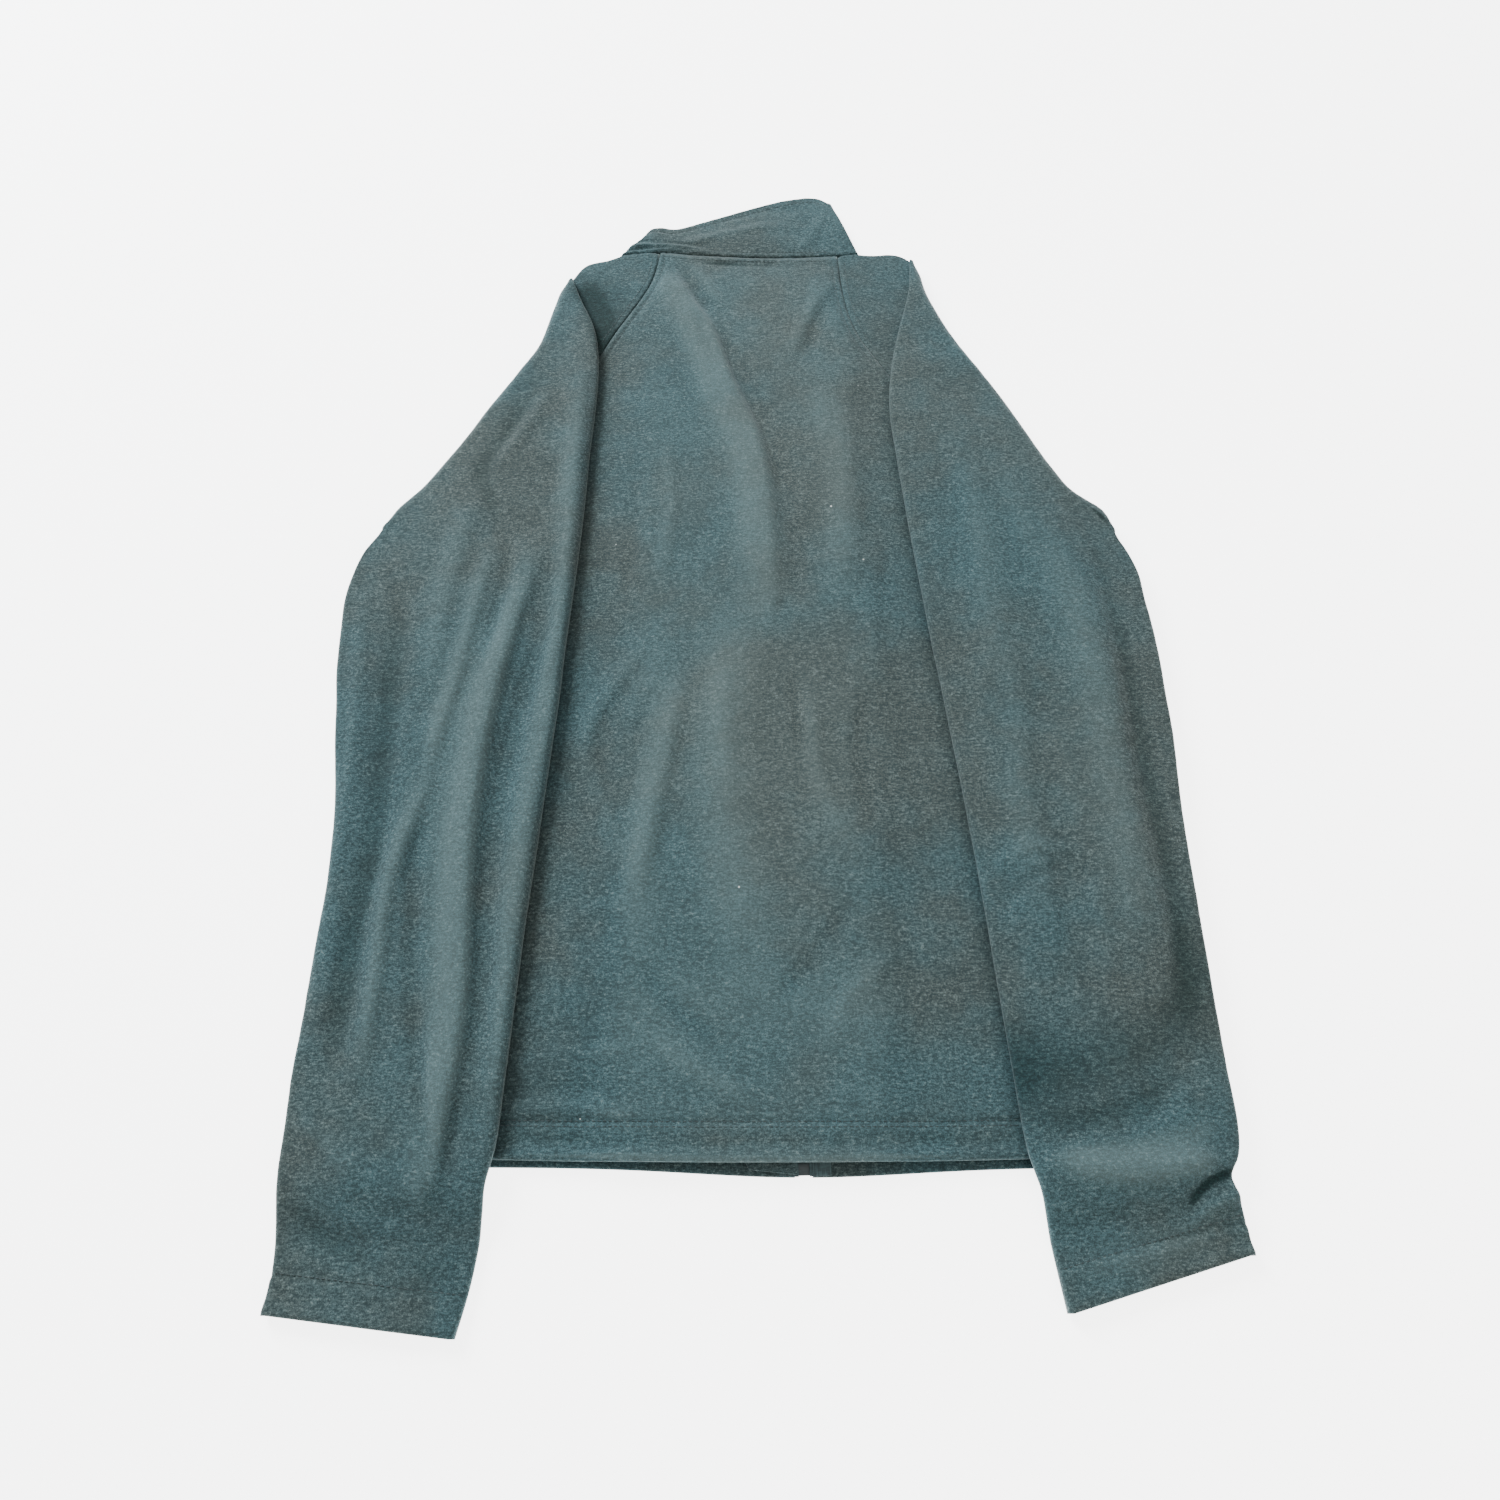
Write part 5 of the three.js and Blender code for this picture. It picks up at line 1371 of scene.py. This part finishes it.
def sew(name, target, lines):
    """Stitches laid on a cloth piece along plan lines, each found by a ray from above it."""
    sizes = bpy.context.scene.jacket_sizes
    form, faces = stitch_form()
    pitch = sizes.stitch_pitch / MM
    tree = BVHTree.FromObject(target, bpy.context.evaluated_depsgraph_get())
    places, all_faces = [], []
    for line in lines:
        reached = line_lengths(line)
        at = np.arange(pitch / 2, reached[-1], pitch)
        for centre, towards in zip(places_on(line, reached, at), places_on(line, reached, at + 1)):
            start = Vector((*((centre + LAYOUT_SHIFT[:2]) * MM), SEWING["drop"]))
            hit, normal, _, _ = tree.ray_cast(start, Vector((0, 0, -1)))
            if hit is None or normal.z < SEWING["least_slope"]:
                continue
            run = Vector((*(towards - centre), 0)).normalized()
            side = normal.cross(run).normalized()
            turn = np.array([side.cross(normal)[:], side[:], normal[:]])
            offset = len(places) * len(form)
            lifted = np.array(normal[:]) * sizes.thread * SEWING["lifted"]
            places.append(form @ turn + np.array(hit[:]) + lifted)
            all_faces.extend([[i + offset for i in face] for face in faces])
    obj = mesh_object(name, np.vstack(places), all_faces)
    wear(obj, thread_material, "fleece")
    return obj


def offset_line(line, distance):
    """A plan line moved to its left by a distance."""
    return line + line_normals(line) * distance


def zip_matrix():
    """From millimetres along the zip line to the row frame's metres."""
    angle = math.atan2(ZIP_HEM[0] - ZIP_NECK_X, FRONT_NECK_Y - ZIP_HEM[1])
    place = Vector(((ZIP_HEM[0] + LAYOUT_SHIFT[0]) * MM, (ZIP_HEM[1] + LAYOUT_SHIFT[1]) * MM, 0))
    return Matrix.Translation(place) @ Matrix.Rotation(angle, 4, "Z") @ Matrix.Scale(MM, 4)


def zip_box(name, x, y, z, bevel, cuts=1):
    """A block beside the zip line between pairs of x, y and z, with rounded edges and cuts across it."""
    deselect_all()
    bpy.ops.mesh.primitive_cube_add(size=1, location=[sum(pair) / 2 for pair in (x, y, z)])
    obj = bpy.context.object
    obj.name = name
    obj.scale = [high - low for low, high in (x, y, z)]
    bpy.ops.object.transform_apply(location=True, rotation=False, scale=True)
    bpy.ops.object.mode_set(mode="EDIT")
    bpy.ops.mesh.select_all(action="SELECT")
    bpy.ops.mesh.bevel(offset=bevel, segments=3, affect="EDGES")
    for k in range(1, cuts):
        bpy.ops.mesh.select_all(action="SELECT")
        bpy.ops.mesh.bisect(plane_co=(0, lerp(*y, k / cuts), 0), plane_no=(0, 1, 0))
    bpy.ops.object.mode_set(mode="OBJECT")
    return obj


def place_on_zip(obj):
    """Moves a piece from zip millimetres to its place, with its object left at the origin."""
    obj.data.transform(zip_matrix())
    obj.data.update()
    make_active(obj)
    bpy.ops.object.shade_smooth_by_angle(angle=math.radians(40))


# Operators

class JACKET_OT_back(bpy.types.Operator):
    """Makes the back, with its pleat below the neck, its hem and its topstitching"""

    bl_idname = "jacket.back"
    bl_label = "Back"

    def execute(self, context):
        obj, over = cloth_object("back_cloth", back_surface, grid_wall)
        roughen(obj, context.scene.jacket_sizes.ripple)
        wear(obj, fleece_material, "fleece", "back")
        x = np.linspace(-150, 150, 160)
        hems = [np.stack([x, back_hem_y(x) * 0.7 + HEM_DEPTH - step], 1) for step in (0, 3)]
        gap = context.scene.jacket_sizes.topstitch / MM
        raglans = [
            offset_line(points_at(half["back_raglan"], np.linspace(0.02, 0.55, 90)), -half["outwards"] * gap)
            for half in (LEFT, RIGHT)
        ]
        neck = over[-1, 10:-10, :2][::3] - (0, gap)
        sewing = sew("stitching_back", obj, [*hems, *raglans, neck])
        return {"FINISHED"}


class JACKET_OT_fronts(bpy.types.Operator):
    """Makes the two fronts, which lie under the back and part at the zip"""

    bl_idname = "jacket.fronts"
    bl_label = "Fronts"

    def execute(self, context):
        for half in (LEFT, RIGHT):
            name = f"front_{half['name']}"
            obj, _ = cloth_object(f"{name}_cloth", partial(front_surface, half), grid_wall)
            wear(obj, fleece_material, "fleece", name)
        return {"FINISHED"}


class JACKET_OT_sleeves(bpy.types.Operator):
    """Makes the two sleeves, folded over the back, with their turned cuffs"""

    bl_idname = "jacket.sleeves"
    bl_label = "Sleeves"

    def execute(self, context):
        for half in (LEFT, RIGHT):
            name = f"sleeve_{half['name']}"
            obj, _ = cloth_object(f"{name}_cloth", partial(sleeve_surface, half), ring_wall)
            roughen(obj, context.scene.jacket_sizes.ripple)
            wear(obj, fleece_material, "fleece", name)
            sewing = sew(f"stitching_{name}", obj, self.lines(half, context))
        return {"FINISHED"}

    def lines(self, half, context):
        """Stitching of the cuff, and beside the raglan seam where the cap shows."""
        rows = np.asarray(half["sections"], float)
        ends = []
        for edge in (rows[::-1, 0:2], rows[::-1, 2:4]):
            line = smooth_line(edge, 20)
            ends.append(places_on(line, line_lengths(line), [HEM_DEPTH]))
        cuff = lerp(*ends, np.linspace(0.02, 0.98, 40)[:, None])
        gap = half["outwards"] * context.scene.jacket_sizes.topstitch / MM
        raglan = offset_line(points_at(half["back_raglan"], np.linspace(0.02, 0.36, 60)), gap)
        return [cuff, raglan]


class JACKET_OT_collar(bpy.types.Operator):
    """Makes the stand collar, flat on itself behind the neck"""

    bl_idname = "jacket.collar"
    bl_label = "Collar"

    def execute(self, context):
        obj, _ = cloth_object("collar_cloth", collar_surface, grid_wall)
        roughen(obj, context.scene.jacket_sizes.ripple)
        wear(obj, fleece_material, "fleece", "collar")
        top = points_at(COLLAR_TOP, np.linspace(0.04, 0.97, 80))
        edge = offset_line(top, -6)
        neck = np.array([(x, 698.5) for x in np.linspace(-62, 62, 60)])
        sewing = sew("stitching_collar", obj, [edge, neck])
        return {"FINISHED"}


class JACKET_OT_guard(bpy.types.Operator):
    """Makes the wind guard behind the zip, with its rounded end at the hem"""

    bl_idname = "jacket.guard"
    bl_label = "Wind guard"

    def execute(self, context):
        bottom = CLOTH + 2 * SEAM_GAP + TAPE["thickness"]
        left, right = -(GUARD["near"] + GUARD["width"]), -GUARD["near"]
        obj = zip_box("wind_guard", (left, right), (GUARD["start"], GUARD["end"]),
                      (bottom, bottom + GUARD["thickness"]), 0.35, 60)
        corner = np.array((left + GUARD["corner"], GUARD["start"] + GUARD["corner"]))
        for vertex in obj.data.vertices:
            away = np.array(vertex.co[:2]) - corner
            if away[0] < 0 and away[1] < 0:
                reach = max(abs(away[0]), abs(away[1]))
                vertex.co[:2] = corner + away / np.linalg.norm(away) * reach
        place_on_zip(obj)
        wear(obj, fleece_material, "fleece", "zip_guard")
        return {"FINISHED"}


class JACKET_OT_zip_tapes(bpy.types.Operator):
    """Makes the two woven tapes of the zip"""

    bl_idname = "jacket.zip_tapes"
    bl_label = "Zip tapes"

    def execute(self, context):
        bottom = CLOTH + SEAM_GAP
        for side, name in ((-1, "left"), (1, "right")):
            x = sorted((side * TAPE["inner"], side * (TAPE["inner"] + TAPE["width"])))
            z = (bottom, bottom + TAPE["thickness"])
            obj = zip_box(f"tape_{name}", x, (0, TAPE["length"]), z, 0.15, 60)
            place_on_zip(obj)
            wear(obj, tape_material, "zip_tape", f"zip_tape_{name}")
        return {"FINISHED"}


class JACKET_OT_zip_chain(bpy.types.Operator):
    """Makes the closed coil of the zip, one tooth copied along both sides"""

    bl_idname = "jacket.zip_chain"
    bl_label = "Zip coil"

    def execute(self, context):
        pitch = CHAIN["pitch"]
        end = SLIDER["at"] - SEAM_GAP
        count = int((end - CHAIN["start"]) / pitch)
        half = CHAIN["width"] / 2
        sides = []
        for side in (-1, 1):
            x = sorted((side * half, -side * CHAIN["reach"]))
            start = CHAIN["start"] + (pitch / 2 if side > 0 else 0)
            y = (start, start + CHAIN["tooth"] * pitch)
            tooth = zip_box("tooth", x, y, (CHAIN["bottom"], CHAIN["top"]), 0.22)
            row = tooth.modifiers.new("along", "ARRAY")
            row.count = count - 1
            row.use_relative_offset = False
            row.use_constant_offset = True
            row.constant_offset_displace = (0, pitch, 0)
            make_active(tooth)
            bpy.ops.object.modifier_apply(modifier=row.name)
            sides.append(tooth)
        x = (-CHAIN["cord"] / 2, CHAIN["cord"] / 2)
        y = (CHAIN["start"], end - 0.5)
        cord = zip_box("coil", x, y, (CHAIN["bottom"] + 0.5, CHAIN["top"] - 0.4), 0.3)
        deselect_all()
        for obj in (*sides, cord):
            obj.select_set(True)
        context.view_layer.objects.active = cord
        bpy.ops.object.join()
        place_on_zip(cord)
        wear(cord, coil_material, "zip_plastic", "zip_chain")
        return {"FINISHED"}


class JACKET_OT_zip_slider(bpy.types.Operator):
    """Makes the slider at the top of the zip, and its pull tab"""

    bl_idname = "jacket.zip_slider"
    bl_label = "Slider and pull"

    def execute(self, context):
        half, low = SLIDER["width"] / 2, SLIDER["at"]
        y = (low, low + SLIDER["length"])
        body = zip_box("slider", (-half, half), y, (SLIDER["bottom"], SLIDER["top"]), 0.7)
        bpy.ops.object.mode_set(mode="EDIT")
        bpy.ops.mesh.select_mode(type="FACE")
        bpy.ops.mesh.select_all(action="DESELECT")
        bpy.ops.object.mode_set(mode="OBJECT")
        for face in body.data.polygons:
            face.select = face.normal.z < -0.99
        bpy.ops.object.mode_set(mode="EDIT")
        bpy.ops.mesh.inset(thickness=1.3, depth=0)
        bpy.ops.mesh.inset(thickness=0.4, depth=-0.18)
        bpy.ops.object.mode_set(mode="OBJECT")
        place_on_zip(body)
        wear(body, metal_material, "zip_metal", "zip_slider")

        half, top = PULL["width"] / 2, low - SEAM_GAP
        y = (top - PULL["length"], top)
        tab = zip_box("pull_tab", (-half, half), y, (0, PULL["thickness"]), 0.3)
        deselect_all()
        bpy.ops.mesh.primitive_cylinder_add(
            vertices=24, radius=PULL["hole"], depth=4, location=(0, y[0] + half, PULL["thickness"] / 2))
        drill = context.object
        hole = tab.modifiers.new("hole", "BOOLEAN")
        hole.object = drill
        hole.operation = "DIFFERENCE"
        make_active(tab)
        bpy.ops.object.modifier_apply(modifier=hole.name)
        bpy.data.objects.remove(drill)
        place_on_zip(tab)
        wear(tab, metal_material, "zip_metal", "zip_pull")
        return {"FINISHED"}


class JACKET_OT_zip_stop(bpy.types.Operator):
    """Makes the bottom stop of the zip, which shows at the hem"""

    bl_idname = "jacket.zip_stop"
    bl_label = "Bottom stop"

    def execute(self, context):
        half = STOP["width"] / 2
        y = (STOP["start"], STOP["start"] + STOP["length"])
        obj = zip_box("bottom_stop", (-half, half), y, (STOP["bottom"], STOP["top"]), 0.4)
        place_on_zip(obj)
        wear(obj, coil_material, "zip_plastic", "zip_stop")
        return {"FINISHED"}


class JACKET_OT_stage(bpy.types.Operator):
    """Makes the camera, the pale surface and the soft light of the studio"""

    bl_idname = "jacket.stage"
    bl_label = "Stage"

    def execute(self, context):
        data = bpy.data.cameras.new("camera")
        data.lens = CAMERA["lens"]
        data.sensor_width = CAMERA["sensor"]
        camera = bpy.data.objects.new("camera", data)
        camera.location = CAMERA["place"]
        camera.rotation_euler = (math.radians(90 - CAMERA["pitch"]), 0, 0)
        context.scene.collection.objects.link(camera)
        context.scene.camera = camera

        deselect_all()
        bpy.ops.mesh.primitive_plane_add(size=FLOOR["size"], location=(0, 0, FLOOR["z"]))
        floor = context.object
        floor.name = "pale_surface"
        floor.data.materials.append(floor_material())

        for row in LAMPS:
            self.lamp(context, *row)
        world = bpy.data.worlds.new("studio")
        world.use_nodes = True
        background = world.node_tree.nodes["Background"]
        background.inputs["Color"].default_value = WORLD["colour"]
        background.inputs["Strength"].default_value = WORLD["strength"]
        context.scene.world = world
        return {"FINISHED"}

    def lamp(self, context, name, place, size, power, colour):
        data = bpy.data.lights.new(name, "AREA")
        data.shape = "DISK"
        data.size = size
        data.energy = power
        data.color = colour
        lamp = bpy.data.objects.new(name, data)
        lamp.location = place
        lamp.rotation_euler = (-Vector(place)).to_track_quat("-Z", "Y").to_euler()
        context.scene.collection.objects.link(lamp)


class JACKET_PT_panel(bpy.types.Panel):
    """Lists the pieces of the jacket and its sizes and colours"""

    bl_idname = "JACKET_PT_panel"
    bl_label = "Fleece jacket"
    bl_space_type = "VIEW_3D"
    bl_region_type = "UI"
    bl_category = "Jacket"

    def draw(self, context):
        for operator in PIECES:
            self.layout.operator(operator.bl_idname)
        for group in (context.scene.jacket_sizes, context.scene.jacket_colours):
            for name in group.__annotations__:
                self.layout.prop(group, name)


PIECES = (
    JACKET_OT_stage, JACKET_OT_fronts, JACKET_OT_back, JACKET_OT_sleeves, JACKET_OT_collar,
    JACKET_OT_zip_tapes, JACKET_OT_guard, JACKET_OT_zip_chain, JACKET_OT_zip_slider, JACKET_OT_zip_stop,
)
CLASSES = (JacketSizes, JacketColours, *PIECES, JACKET_PT_panel)


def register():
    for cls in CLASSES:
        bpy.utils.register_class(cls)
    bpy.types.Scene.jacket_sizes = bpy.props.PointerProperty(type=JacketSizes)
    bpy.types.Scene.jacket_colours = bpy.props.PointerProperty(type=JacketColours)


def unregister():
    del bpy.types.Scene.jacket_colours
    del bpy.types.Scene.jacket_sizes
    for cls in reversed(CLASSES):
        bpy.utils.unregister_class(cls)


def main():
    register()
    for operator in PIECES:
        group, name = operator.bl_idname.split(".")
        getattr(getattr(bpy.ops, group), name)()


if __name__ == "__main__":
    main()
